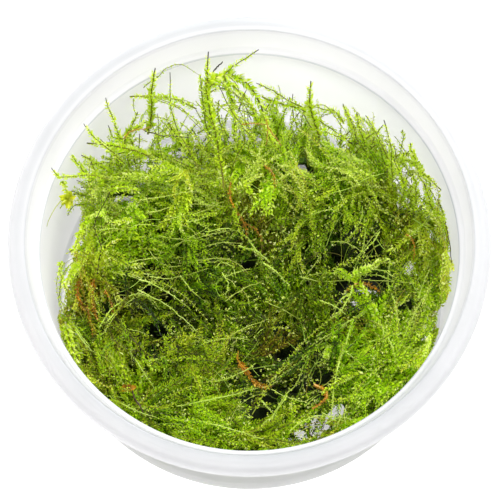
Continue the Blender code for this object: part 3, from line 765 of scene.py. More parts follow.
# Painted shade: the underside's shoots get dark tones.
side_tone = np.append(side_tone, moss_draw.uniform(0.2, 0.5, len(under_lines)))
side_hue = np.append(side_hue, moss_draw.uniform(0.1, 0.7, len(under_lines)))
clear_side = clear_of(lines, SEEN_THROUGH)
lines, side_tone, side_hue = lines[clear_side], side_tone[clear_side], side_hue[clear_side]
moss_piece("moss_side_and_underside", [
    (leaves(moss_draw, lines, SIDE_LEAVES, LEAF_LENGTH, LEAF_WIDTH, LEAF_SPREAD, side_tone, side_hue,
            pale=PAINTED_GLINT_LEAVES), 0),
    (stems(lines, STEM_RADIUS, STEM_TAPER, np.clip(side_tone - STEM_DARKER, 0, 1), side_hue), 1),
], ["moss_mat"])

# ---------------------------------------------------------------------------------------------
# The leaning shoots. Long shoots stand up from the mat and lean on the cup's back wall. Their
# old tips are bare and nearly black, and the leaves below them catch the light.

# How a shoot is dressed: stem radius, leaves per mm, leaf length, leaf width, stem tone, leaf
# tone, age, and the share of the tip that is bare and black.
DRESS = {
    "twig": (0.16, 4.6, 0.95, 0.6, 0.42, 0.76, 0.22, 0.08),
    "leafy": (0.18, 6.5, 1.1, 0.68, 0.48, 0.74, 0.22, 0.04),
    "thick": (0.24, 9, 1.4, 0.8, 0.38, 0.72, 0.28, 0.05),
    "fringe": (0.13, 4.6, 0.85, 0.54, 0.44, 0.74, 0.2, 0.04),
    "strand": (0.11, 3, 0.66, 0.42, 0.52, 0.74, 0.2, 0),
    "dead": (0.14, 1.6, 0.6, 0.4, 0.45, 0.5, 0.92, 0),
    "dark": (0.15, 2.2, 0.6, 0.42, 0.14, 0.64, 0.25, 0.3),
    "bare": (0.22, 0, 0.5, 0.35, 0.05, 0.4, 0.35, 1),
    "lime": (0.14, 2, 0.6, 0.4, 0.74, 0.82, 0.12, 0),
    "lime_thick": (0.2, 3.2, 0.7, 0.48, 0.78, 0.84, 0.12, 0),
    "pale": (0.09, 0.8, 0.45, 0.3, 0.8, 0.8, 0.2, 0),
    "tuft": (0.16, 9, 1.3, 0.85, 0.58, 0.83, 0.1, 0),
    "dry": (0.13, 3.5, 0.65, 0.42, 0.5, 0.55, 0.95, 0),
    "dry_leafy": (0.14, 6, 0.95, 0.6, 0.45, 0.5, 0.95, 0),
    "dry_thick": (0.34, 4.5, 0.75, 0.5, 0.5, 0.55, 0.95, 0),
}
SPRIG_POINTS = 16
SPRIG_SIDES = 5
SPRIG_MARGIN = 0.5
SPRIG_TAPER = 0.55
WHORL = 3
GAP_CROSSING = 0.5

# The knots of each shoot in mm, under the name of its kind.
LEANING_SHOOTS = [
    "twig", [(-29.8, 18.5, 27), (-33.9, 17.9, 31.2), (-36.5, 16.7, 33.9), (-39.1, 15.5, 36.6),
        (-40.1, 15.5, 37.7), (-41.1, 16.4, 39.5)],
    [(-26.3, 21.9, 27), (-28.9, 23.3, 30.5), (-32, 24.5, 34.4), (-33.4, 25.5, 36.5), (-34.6, 26.6, 38.5)],
    "thick", [(-21, 23.5, 27), (-24.2, 24.2, 28.6), (-27.3, 24.5, 30.2), (-30, 24.5, 31.5),
        (-34.1, 24.2, 33.5)],
    "twig", [(-27.3, 26.5, 29), (-27.7, 27.5, 30.6), (-28.5, 29.1, 33.5), (-29.5, 30.7, 36.4),
        (-30.2, 32.2, 39)],
    [(-24.4, 25.4, 26), (-25.3, 27.3, 28.1), (-27.1, 26.6, 29.5), (-28.8, 26.5, 30.9), (-29.8, 28.4, 33)],
    "leafy", [(-11.3, 32.8, 31), (-14.7, 34, 32.6), (-17.8, 34.4, 33.9), (-20.9, 33.9, 35.2),
        (-25.1, 33.4, 37)],
    "twig", [(-26.6, 27, 24), (-26, 28.6, 26), (-24.9, 30, 28.1), (-24.2, 31, 29.6), (-23.7, 32.1, 31)],
    "thick", [(-21.5, 29, 26), (-20.8, 31.4, 29.3), (-20.6, 33.6, 32.4), (-20.5, 35.8, 35.4),
        (-19.8, 38.7, 39.5)],
    "twig", [(-10.9, 21.7, 25), (-14.2, 26.9, 29.2), (-15.5, 29, 30.9), (-16.3, 31.3, 32.5),
        (-16.7, 34, 34.4), (-16.7, 38.4, 37.5)],
    "thick", [(-5.4, 17.2, 25), (-6.6, 24.6, 29.3), (-7.5, 28.3, 31.4), (-8.5, 32, 33.6), (-8.9, 35, 35.3),
        (-8.9, 37.9, 37), (-8.7, 42.4, 39.5)],
    "bare", [(-8.1, 38.4, 31), (-7.5, 40.1, 33.6), (-6.6, 40.9, 35.1), (-5.6, 41.3, 36.5)],
    "leafy", [(-9.2, 37.1, 32), (-7.1, 38.7, 33.3), (-4.5, 39.9, 34.8), (-2.8, 41.1, 35.8),
        (2, 43.2, 38.5)],
    "twig", [(11.6, 34.5, 27), (8.6, 35.4, 28.7), (5.4, 36.7, 30.7), (3.5, 37.4, 31.8), (1.4, 37.9, 33)],
    "thick", [(15, 28.4, 24), (13.9, 30.6, 27.3), (13, 32.5, 30.1), (12.6, 33.9, 32.2), (12.9, 37, 36.5)],
    "leafy", [(20, 30.7, 28), (19.1, 31.9, 28.5), (17.7, 33.2, 29.3), (16, 33, 29.9), (13, 33.7, 31)],
    "twig", [(23, 27.2, 26), (22.1, 29, 28.3), (21.2, 30.7, 30.5), (20.3, 31.9, 32.1), (19.7, 33, 33.5)],
    "leafy", [(24.7, 26.2, 25), (24, 27.6, 27.4), (23.3, 28.7, 29.3), (22.9, 29.8, 31.2), (22.6, 30.9, 33)],
    "twig", [(29.5, 23.1, 26), (28, 25.2, 28.5), (26.7, 27.2, 30.9), (25.6, 28.6, 32.6),
        (24.5, 30.1, 34.5)],
    "leafy", [(30.3, 16.8, 25), (30, 19.8, 27.9), (29.8, 22.1, 30.2), (29.7, 24, 32.1), (28.2, 28.2, 36.5)],
    [(36, 20.6, 28), (35, 21.3, 30.5), (34.1, 22, 33.3), (33.6, 23.1, 36.5)],
    [(31.4, 23.9, 27), (33.4, 21.9, 28.7), (35, 20.3, 30), (36.6, 18, 31.6), (40, 13.2, 35)],
    "dark", [(39.6, 14.7, 25), (40.4, 12.4, 25.9), (41.1, 8.8, 27.3), (41.8, 4.2, 29), (42.2, -1.3, 31)],
    "leafy", [(-32.1, 19.8, 24), (-33.7, 19.5, 26), (-35.3, 20, 28.5), (-36.5, 21.1, 31.1),
        (-37.5, 21.7, 33)],
    [(-33.2, 11.5, 24), (-34.4, 9.4, 25.5), (-35.6, 6.3, 27.5), (-36.3, 2.7, 29.6), (-37.5, 0.9, 31)],
    [(-34.9, 1.7, 22), (-36.5, -0.3, 24.1), (-37.6, -2.8, 26.3), (-38.7, -7, 29.5)],
    [(-29.9, 17.6, 24), (-31.6, 18.6, 26.1), (-32.6, 20.1, 28.1), (-33.6, 21.9, 30.5)],
    [(30, 19.8, 24), (30.9, 21, 26.9), (32.1, 21.8, 29.6), (32.5, 22.7, 31.5)],
    "strand", [(-22.4, 36.4, 34), (-20.5, 37.9, 34.8), (-18.9, 39.4, 35.5), (-16.7, 40.3, 36.2),
        (-14.2, 40.4, 37), (-10.2, 37.3, 38.5)],
    [(-20.6, 34.9, 32), (-17.2, 33.7, 31.4), (-14.2, 32.4, 30.9), (-9.8, 28.4, 30)],
    [(-33, 11.6, 30), (-33.4, 14.2, 32.2), (-33.6, 16.8, 34.3), (-33.3, 18.8, 36)],
    "dark", [(-32.1, -1.2, 22), (-31.7, 1.3, 23.4), (-31.2, 3.9, 24.8), (-32.1, 6.3, 26.2),
        (-32.5, 8.7, 27.6), (-29.3, 14.2, 31)],
    "twig", [(-39.4, 17, 30), (-38.9, 15.6, 30.8), (-37.9, 12.3, 34.5)],
    [(1.4, 26.5, 28), (-0.7, 28.3, 29.8), (-2.8, 30.5, 31.7), (-4.3, 32.4, 33.2), (-6.4, 36.1, 36)],
    "strand", [(1.6, 32.3, 30), (0.1, 33.6, 31.2), (-1.4, 34.8, 32.3), (-2.8, 36.5, 33.6), (-4.7, 38, 35)],
    "leafy", [(-3.3, 27.6, 25), (-3.1, 30.4, 27.1), (-3.7, 33.2, 29.3), (-4.3, 38.1, 33)],
    "strand", [(3.9, 31.4, 25), (1, 31.4, 26.3), (-1.4, 30.6, 27.3), (-2.6, 29.2, 28)],
    "dark", [(-2.4, 33.2, 28), (-1.4, 35, 31.8), (-0.7, 35.9, 34)],
    "twig", [(5, 26.5, 23), (4.1, 28.1, 27.8), (3.7, 29.2, 31)],
    "strand", [(40, 14, 24), (38, 16, 27.1), (35.8, 17.5, 30.5), (34.7, 19.6, 34)],
    "leafy", [(34.6, 12.4, 22), (35.1, 14.5, 25.2), (35, 16.5, 28.3), (34.3, 18.2, 31)],
    [(31.8, 14.3, 23), (32.6, 16.8, 26.2), (31.7, 18.9, 29), (30.3, 21, 32)],
    [(39.4, 10.7, 22), (38.5, 12.8, 24.9), (37.6, 14.5, 27.5), (36.7, 16.3, 30)],
    "strand", [(20.5, 21.9, 22), (17.5, 20.4, 23.6), (14.5, 18.7, 25.2), (11.1, 19.2, 27)],
    "leafy", [(-25.2, 28.5, 23), (-25.7, 29.4, 26.1), (-23.8, 29.1, 29.4), (-21.8, 29.1, 33)],
    "twig", [(-39.4, 0.7, 25), (-39.7, -1.6, 26.6), (-38.9, -5, 28.9), (-37.8, -7.9, 31)],
    "strand", [(-25.3, 9.8, 22), (-29, 7.9, 24), (-32.3, 7.4, 25.7), (-34.8, 7.3, 27)],
    "twig", [(-24.8, 10.8, 24), (-26.8, 9.1, 26.6), (-28.8, 7.8, 29)],
    "strand", [(-25.3, 33.9, 35.4), (-21.8, 34.2, 35.5), (-20.1, 33.8, 35.3), (-17.1, 32.9, 34.8),
        (-14.6, 32, 34.3), (-11.9, 29.9, 33.2), (-10.4, 28.6, 32.5), (-8.9, 27.1, 31.7)],
    [(-20.1, 34, 35.4), (-16.3, 33.5, 35.1), (-13.8, 33.2, 35), (-10.6, 32.2, 34.4)],
    [(-16.6, 32.7, 34.7), (-13.8, 31.2, 33.9), (-11.5, 29.7, 33.1), (-10.6, 28.9, 32.6)],
    [(-20.3, 30.2, 33.3), (-17.6, 29.7, 33.1), (-15, 28.8, 32.6)],
    [(-24.3, 33.5, 35.1), (-24.4, 32.4, 34.5), (-24.2, 31.2, 33.9), (-23.6, 30.5, 33.5)],
    [(-4.5, 37.8, 37.4), (-2.8, 36.3, 36.6), (-2.1, 34.5, 35.6), (-1.6, 33.7, 35.2)],
    [(-5.8, 36.5, 36.7), (-3, 34.5, 35.6), (0.1, 32.5, 34.6), (1.8, 31, 33.8)],
    [(-1.4, 32.4, 34.5), (-0.9, 29.7, 33.1), (-0.5, 27.5, 31.9)],
    [(-3.1, 29.7, 33.1), (-2.7, 27.7, 32), (-3.3, 25.8, 31)],
    [(-7.7, 32.4, 34.5), (-5.4, 32.2, 34.4), (-3.3, 32.4, 34.5), (-1.8, 32, 34.3)],
    "dead", [(-1.6, 28.7, 32.5), (0.5, 28.9, 32.6), (3.5, 28.7, 32.5)],
    [(3.5, 29.7, 33.1), (3.9, 28.2, 32.3), (3.7, 26.2, 31.2), (3.5, 24.7, 30.4)],
    [(3.9, 28.2, 32.3), (5.4, 26.4, 31.3), (6.8, 24.7, 30.4)],
    "dark", [(-22.4, 27.7, 32), (-18.8, 26.7, 31.5), (-16.3, 26.6, 31.4), (-12.7, 26.2, 31.2)],
    "dead", [(-26.4, 26.2, 31.2), (-24.9, 27.5, 31.9), (-22.4, 27.9, 32.1), (-20.7, 28.4, 32.4)],
    "strand", [(-0.9, 29.4, 32.9), (0.5, 27.1, 31.7), (1.8, 24.9, 30.5)],
    [(-11.3, 33.1, 34.9), (-9.4, 30.9, 33.7), (-7.5, 28.4, 32.4), (-5.8, 26.2, 31.2)],
    [(-14.6, 29.2, 32.8), (-12.5, 27.5, 31.9), (-10.6, 25.4, 30.8), (-9.6, 23.6, 29.8)],
    [(-16.3, 28.4, 32.4), (-14, 25.8, 31), (-12.3, 23.9, 30)],
    [(-18.8, 29.9, 33.2), (-16.7, 27.5, 31.9), (-15.1, 25.8, 31)],
    [(-9.4, 27.7, 32), (-7.9, 25.6, 30.9), (-6.2, 23.6, 29.8)],
    [(-5.2, 28, 32.2), (-6.4, 26.2, 31.2), (-8.1, 23.9, 30)],
    [(13.6, 32.2, 34.4), (15.5, 32.4, 34.5), (17.1, 31.4, 34), (18.6, 30.7, 33.6), (20, 28.7, 32.6)],
    [(20.1, 31, 33.8), (21.6, 29.2, 32.8), (22.6, 27.1, 31.7)],
    [(32.6, 22.4, 29.2), (34, 23.9, 30), (35.3, 21.5, 28.7)],
    [(31.7, 22, 29), (33.6, 19.8, 27.8), (35.3, 17.4, 27)],
    [(30.9, 20.2, 28), (33, 18.1, 27), (35.1, 16.1, 27)],
    [(21.1, 29.9, 33.2), (23.5, 28, 32.2), (25.6, 25.8, 31)],
    [(26, 28, 32.2), (27.7, 25.6, 30.9), (29, 23.6, 29.8)],
    [(22.2, 27.7, 32), (21, 25.8, 31), (20.1, 23.6, 29.8)],
    [(16.9, 31.4, 34), (18.8, 29.2, 32.8), (20.5, 26.9, 31.6)],
    "leafy", [(14.8, 28, 32.2), (16.7, 27.1, 31.7), (18.8, 26.4, 31.3), (21.2, 26, 31.1)],
    "strand", [(-38.7, 0, 27), (-40.1, -2.8, 27), (-40.2, -6.2, 27), (-39.4, -9.5, 27), (-38.7, -11.4, 27)],
    [(-38, -1.3, 27), (-39.2, -3.9, 27), (-39.6, -7.3, 27), (-38.7, -10.1, 27)],
    [(-36.8, 0, 27), (-38.6, -1.7, 27), (-39.6, -5.1, 27), (-39.8, -8.4, 27), (-39.1, -11, 27)],
    "thick", [(-38.8, -11, 20), (-38, -14, 20.5), (-37, -17, 20.5), (-35.4, -20.2, 20)],
    "leafy", [(-39.6, -10.5, 17), (-38.8, -14, 17.5), (-37.4, -17.5, 17.5), (-35.8, -20.5, 17)],
    "thick", [(-37.6, -12.5, 18), (-36.6, -15.5, 18), (-35.2, -18.5, 18)],
    "leafy", [(-30, 15.6, 26.5), (-27.6, 16.4, 26.8), (-25.2, 16.3, 26.6), (-22.8, 15.8, 26.2)],
    [(-29.6, 17.4, 25), (-27, 17.9, 25.2), (-24.2, 17.6, 25)],
    "strand", [(-29.8, 14, 26), (-27, 14.9, 26.3), (-23.8, 14.2, 26)],
    [(-28.8, 12.8, 26), (-26.8, 14.8, 26.3), (-25.2, 16.4, 26.5)],
    "leafy", [(-8.8, 28.2, 27.5), (-9.4, 30.9, 29.5), (-9.8, 32.8, 31.5), (-10, 34.8, 33.5),
        (-10.2, 36.7, 35.5), (-10.4, 38.1, 37)],
    [(-8.4, 29.6, 28), (-9.2, 32.3, 30.5), (-9.4, 34.5, 33), (-9.2, 36.4, 35), (-8.7, 37.9, 37)],
    "twig", [(-7.9, 30.8, 28.5), (-8.6, 33.5, 31), (-8.7, 35.7, 33.5), (-8.1, 37.4, 36)],
    "leafy", [(-9.1, 35.6, 36), (-7.3, 36.7, 35.5), (-5, 37.4, 34.5), (-3.2, 37.1, 33), (-1.7, 35.8, 31.5),
        (-0.2, 34.7, 30), (1.2, 33, 28.5)],
    "twig", [(-8.2, 35, 35), (-6.1, 36.2, 34.5), (-3.8, 35.8, 33), (-2, 34.8, 31.5), (-0.8, 33.5, 30),
        (0.4, 31.4, 28)],
    "leafy", [(-5.3, 38.4, 36), (-4.4, 35.8, 33), (-3.2, 33.8, 30), (-2.9, 30.3, 27.5)],
    "strand", [(-6.2, 33.4, 31), (-3.2, 34.2, 31.5), (-0.2, 33.6, 30.5), (2.4, 32.1, 28.5)],
    [(-7.3, 34, 32), (-4.4, 32.3, 30.5), (-1.4, 31.3, 29), (0.7, 29.5, 27)],
    "twig", [(-5.8, 30, 27), (-6.7, 32.2, 29.5), (-6.4, 34.4, 32)],
    "leafy", [(1.8, 30.4, 27), (1, 32.4, 29), (0.1, 34.1, 31), (-1.4, 35.4, 33)],
    [(-11.1, 30, 24), (-9, 30.8, 24.5), (-7, 30.9, 24.5), (-5.1, 30.1, 24.2), (-4.3, 28.9, 23.8)],
    [(-9.2, 26, 23.5), (-8.4, 28.2, 24), (-7.6, 30.4, 24.5)],
    [(-5.7, 26.4, 23.5), (-5.2, 28.4, 24), (-4.9, 30.5, 24.5)],
    [(-2.8, 26, 23.5), (-2.4, 28.1, 24), (-2, 30.2, 24.3)],
    [(-0.3, 26, 23.5), (0, 27.7, 24), (0.3, 29.4, 24.2)],
    [(-12.4, 26, 23.5), (-12.9, 28, 24), (-13.2, 29.9, 24.2)],
    "thick", [(-17.2, 31.1, 27), (-16.1, 29.5, 26), (-14.9, 27.7, 25), (-13.4, 25.8, 24)],
]

sprig_draw = np.random.default_rng(7)


def smooth_line(knots, points):
    """A smooth line through the knots, with evenly shared points [1, point, xyz]."""
    knots = np.array(knots, float)
    padded = np.vstack([2 * knots[0] - knots[1], knots, 2 * knots[-1] - knots[-2]])
    place = np.linspace(0, len(knots) - 1.0001, points)
    low = place.astype(int)
    t = (place - low)[:, None]
    a, b, c, d = (padded[low + k] for k in range(4))
    bend = (2 * a - 5 * b + 4 * c - d) * t ** 2 + (3 * b - a - 3 * c + d) * t ** 3
    return (b + 0.5 * ((c - a) * t + bend))[None]


def of_kinds(listing):
    """Each entry of a listing with its kind, whose name stands before the first of a run."""
    for entry in listing:
        if isinstance(entry, str):
            kind = entry
        else:
            yield kind, entry


def dressed(draw, line, kind):
    """The leaf and stem parts of one shoot."""
    radius, per_mm, leaf_length, leaf_width, stem_tone, leaf_tone, age, bare = DRESS[kind]
    line = line + draw.normal(0, 0.06, line.shape)
    length = np.linalg.norm(np.diff(line[0], axis=0), axis=1).sum()
    share = np.linspace(0, 1, line.shape[1])
    tip_tone = stem_tone if bare == 0 else 0.0
    tone = np.interp(share, [0, max(0.98 - bare, 0.0), 1.0], [stem_tone + 0.12, stem_tone, tip_tone])
    parts = [(stems(line, radius, SPRIG_TAPER, tone[None], np.array([age]), SPRIG_SIDES), 1)]
    count = int(per_mm * length)
    if count:
        parts.append((leaves(draw, line, count, leaf_length, leaf_width, 1.2, np.array([leaf_tone]),
                             np.array([age]), stop=1.0 - 0.8 * bare, pale=0.12, whorl=WHORL), 0))
    return parts


def kept_shoot(draw, line, kind):
    """One shoot's parts, drawn in where it would pass through the cup."""
    return dressed(draw, kept_in_well(line, SPRIG_MARGIN), kind)


sprig_parts = []
for kind, knots in of_kinds(LEANING_SHOOTS):
    sprig_parts += kept_shoot(sprig_draw, smooth_line(knots, SPRIG_POINTS), kind)

# Shorter shoots between them, rooted along the mat's back edge: x and y of each stretch's ends,
# how many, mean direction in degrees and mean rise in radians.
BACK_FRINGE = [
    (-36, 14, -26, 21, 18, 140, 0.45), (-26, 21, -12, 25, 34, 110, 0.5), (-12, 25, 4, 29, 32, 95, 0.5),
    (4, 29, 20, 28, 30, 85, 0.5), (20, 28, 34, 20, 32, 70, 0.6), (32, 20, 40, 8, 16, 80, 0.6),
]
FRINGE_KINDS = ["fringe", "fringe", "leafy", "twig", "strand"]
FRINGE_TOP = 38.5
FRINGE_MARGIN = 0.8
for x0, y0, x1, y1, count, direction, lift in BACK_FRINGE:
    share = sprig_draw.uniform(0, 1, count)
    x = x0 + (x1 - x0) * share + sprig_draw.normal(0, 1.5, count)
    y = y0 + (y1 - y0) * share + sprig_draw.normal(0, 1.5, count)
    roots = np.stack([x, y, mat_height(x, y).clip(20, 27) + sprig_draw.uniform(-1, 0.5, count)], axis=-1)
    heading = math.radians(direction) + sprig_draw.normal(0, 0.6, count)
    size = sprig_draw.uniform(5, 12, count)
    fringe = grown_lines(sprig_draw, roots, heading, sprig_draw.normal(lift, 0.25, count), size, 0.9, 0.3, 9)
    fringe = kept_in_well(fringe, FRINGE_MARGIN)
    fringe[..., 2] = np.minimum(fringe[..., 2], FRINGE_TOP)
    closed = clear_of(fringe, SEEN_THROUGH) | (sprig_draw.uniform(0, 1, count) < GAP_CROSSING)
    fringe = fringe[closed]
    for line, kind in zip(fringe, sprig_draw.choice(FRINGE_KINDS, len(fringe))):
        sprig_parts += dressed(sprig_draw, line[None], kind)
moss_piece("leaning_shoots", sprig_parts, [f"leaning_shoot_{i:02d}" for i in range(1, 26)])

# ---------------------------------------------------------------------------------------------
# The arching strands. Two leafy ones bow over the back of the clump, and thinner pale ones lie
# across the hollow and the front, where they cross each other.

ARCHING_STRANDS = [
    "leafy", [(2.6, 36.3, 29), (7.3, 34.9, 27.9), (10.7, 34.3, 27.1), (13.9, 32.6, 26.2),
        (17.3, 30.4, 25.3), (21.8, 27.5, 24)],
    "thick", [(-9.3, 36.1, 37), (-7.1, 38.2, 35.6), (-4.5, 39.2, 34.3), (-2, 39, 33), (0.1, 37.5, 31.5),
        (1.8, 35.2, 29.9), (2.9, 32.7, 28.3), (3.7, 30.3, 26.8), (4.8, 28.3, 25.5), (6.5, 26.1, 24)],
]

# Low strands over the mat: x and y of one end, x and y of the other, rise and sway.
LOW_STRANDS = [
    (-21.5, -0.5, -7, -12, 3.5, 1.5), (-31, -13, -19.5, -8, 4.5, 3), (0.5, -31, 21.5, -6, 4.5, 1.5),
    (22, -11.5, 16.5, -30, 4, -1), (19.5, -30.5, 28.5, -20, 3.5, 0.5), (12.5, -1.5, 27.5, 4, 3.5, 1),
    (-18, 9.5, 0.5, 5.5, 3.5, 1), (-23.5, 6, -12, 2.5, 3, 0.5), (-20.5, -29.5, -3, -22, 3.5, 0.5),
    (-9, -17.5, 1.5, -9.5, 3, 0.5), (28.5, -9.5, 33.5, -24, 3.5, 1), (3.5, -10.5, 10.5, -12.5, 3, 0.5),
]


def low_line(x0, y0, x1, y1, rise, sway, points=SPRIG_POINTS):
    """A bowed line over the mat between two places [1, point, xyz]."""
    share = np.linspace(0, 1, points)
    bulge = 4 * share * (1 - share)
    x = x0 + (x1 - x0) * share
    y = y0 + (y1 - y0) * share
    side = unit(np.array([-(y1 - y0), x1 - x0]))
    x, y = x + side[0] * sway * bulge, y + side[1] * sway * bulge
    ends = mat_height(np.array([x0, x1]), np.array([y0, y1]))
    z = ends[0] * (1 - share) + ends[1] * share + rise * bulge
    z = np.maximum(z, mat_height(x, y) + 0.4)
    return np.stack([x, y, z], axis=-1)[None]


strand_parts = []
for kind, knots in of_kinds(ARCHING_STRANDS):
    strand_parts += kept_shoot(sprig_draw, smooth_line(knots, SPRIG_POINTS), kind)
for ends in LOW_STRANDS:
    strand_parts += kept_shoot(sprig_draw, low_line(*ends), "strand")
moss_piece("arching_strands", strand_parts, [f"arching_strand_{i:02d}" for i in range(1, 15)])

# ---------------------------------------------------------------------------------------------
# Fine threads and pale tips. Young bare runners and old leafless stems cross the mat as pale
# threads, and everywhere small leaf tips turn up; they are pale, and painted nearly white as
# painted highlights.

# Kind, then x and y of one end and of the other, all lying just over the mat.
FINE_THREADS = [
    "lime", (17.9, -24.6, 23.1, -22), (21.6, -9.2, 27.1, -6.6), (21.7, 0.4, 10.7, 0.7),
        (22.3, 0.4, 31.7, -2.4), (21.2, -3.7, 17.6, -9.2), (15.5, -12, 15.6, -18.3),
        (4.7, -32.4, 10.6, -23.5), (-12.5, -16.6, 0.1, -13.3), (-15.3, -29.3, 2.6, -24.6),
        (-7.2, -23.2, 1.2, -19.2),
    "pale", (-17.9, 4.8, -8, 6.6), (-14.7, 3.7, -3.7, 4.5), (-13.7, 7.5, -3.1, 10.4),
        (-21.1, 5.4, -12.6, 3.5), (-31.4, -13.9, -26.9, -6),
    "lime", (28.5, -12.8, 30.7, -20.1), (25.8, -10.3, 27.4, -17.2),
    "pale", (20.1, -11, 4.3, -23.3), (10.6, -18.8, 2.6, -26.1), (-3.7, -12.3, 2.6, -9),
        (-5.2, -4.8, 2.6, -0.5), (3.3, -4.6, 10.7, -8.5), (17.1, 7.6, 25.9, 2.4),
    "lime", (10.7, 10.8, 20.2, 12), (20.2, 7.4, 23.8, 14.1), (27.6, 8.9, 21.3, 3), (-9.4, -2, 0.1, 2.5),
    "pale", (-25.2, -5.8, -15.8, 2.4), (-29.5, 0.7, -17.9, -2), (-20.8, -19.4, -9.4, -12.5),
    "lime", (-25.1, -16.7, -18.7, -26.8), (-29.2, -26.6, -18.7, -32), (-10.3, -32.7, 2.6, -36.5),
        (8.4, -34.9, 19.9, -32.5), (23.2, -15.5, 35.9, -12.5), (31.6, -16.1, 38.4, -3),
        (35.5, -6.1, 40.1, 3.7), (33.8, 7.3, 39, 12.9), (-36.7, 1, -29, 8.5), (-37.9, -5.2, -35, 2.4),
        (-38.3, -11.4, -36.2, -5.8),
]

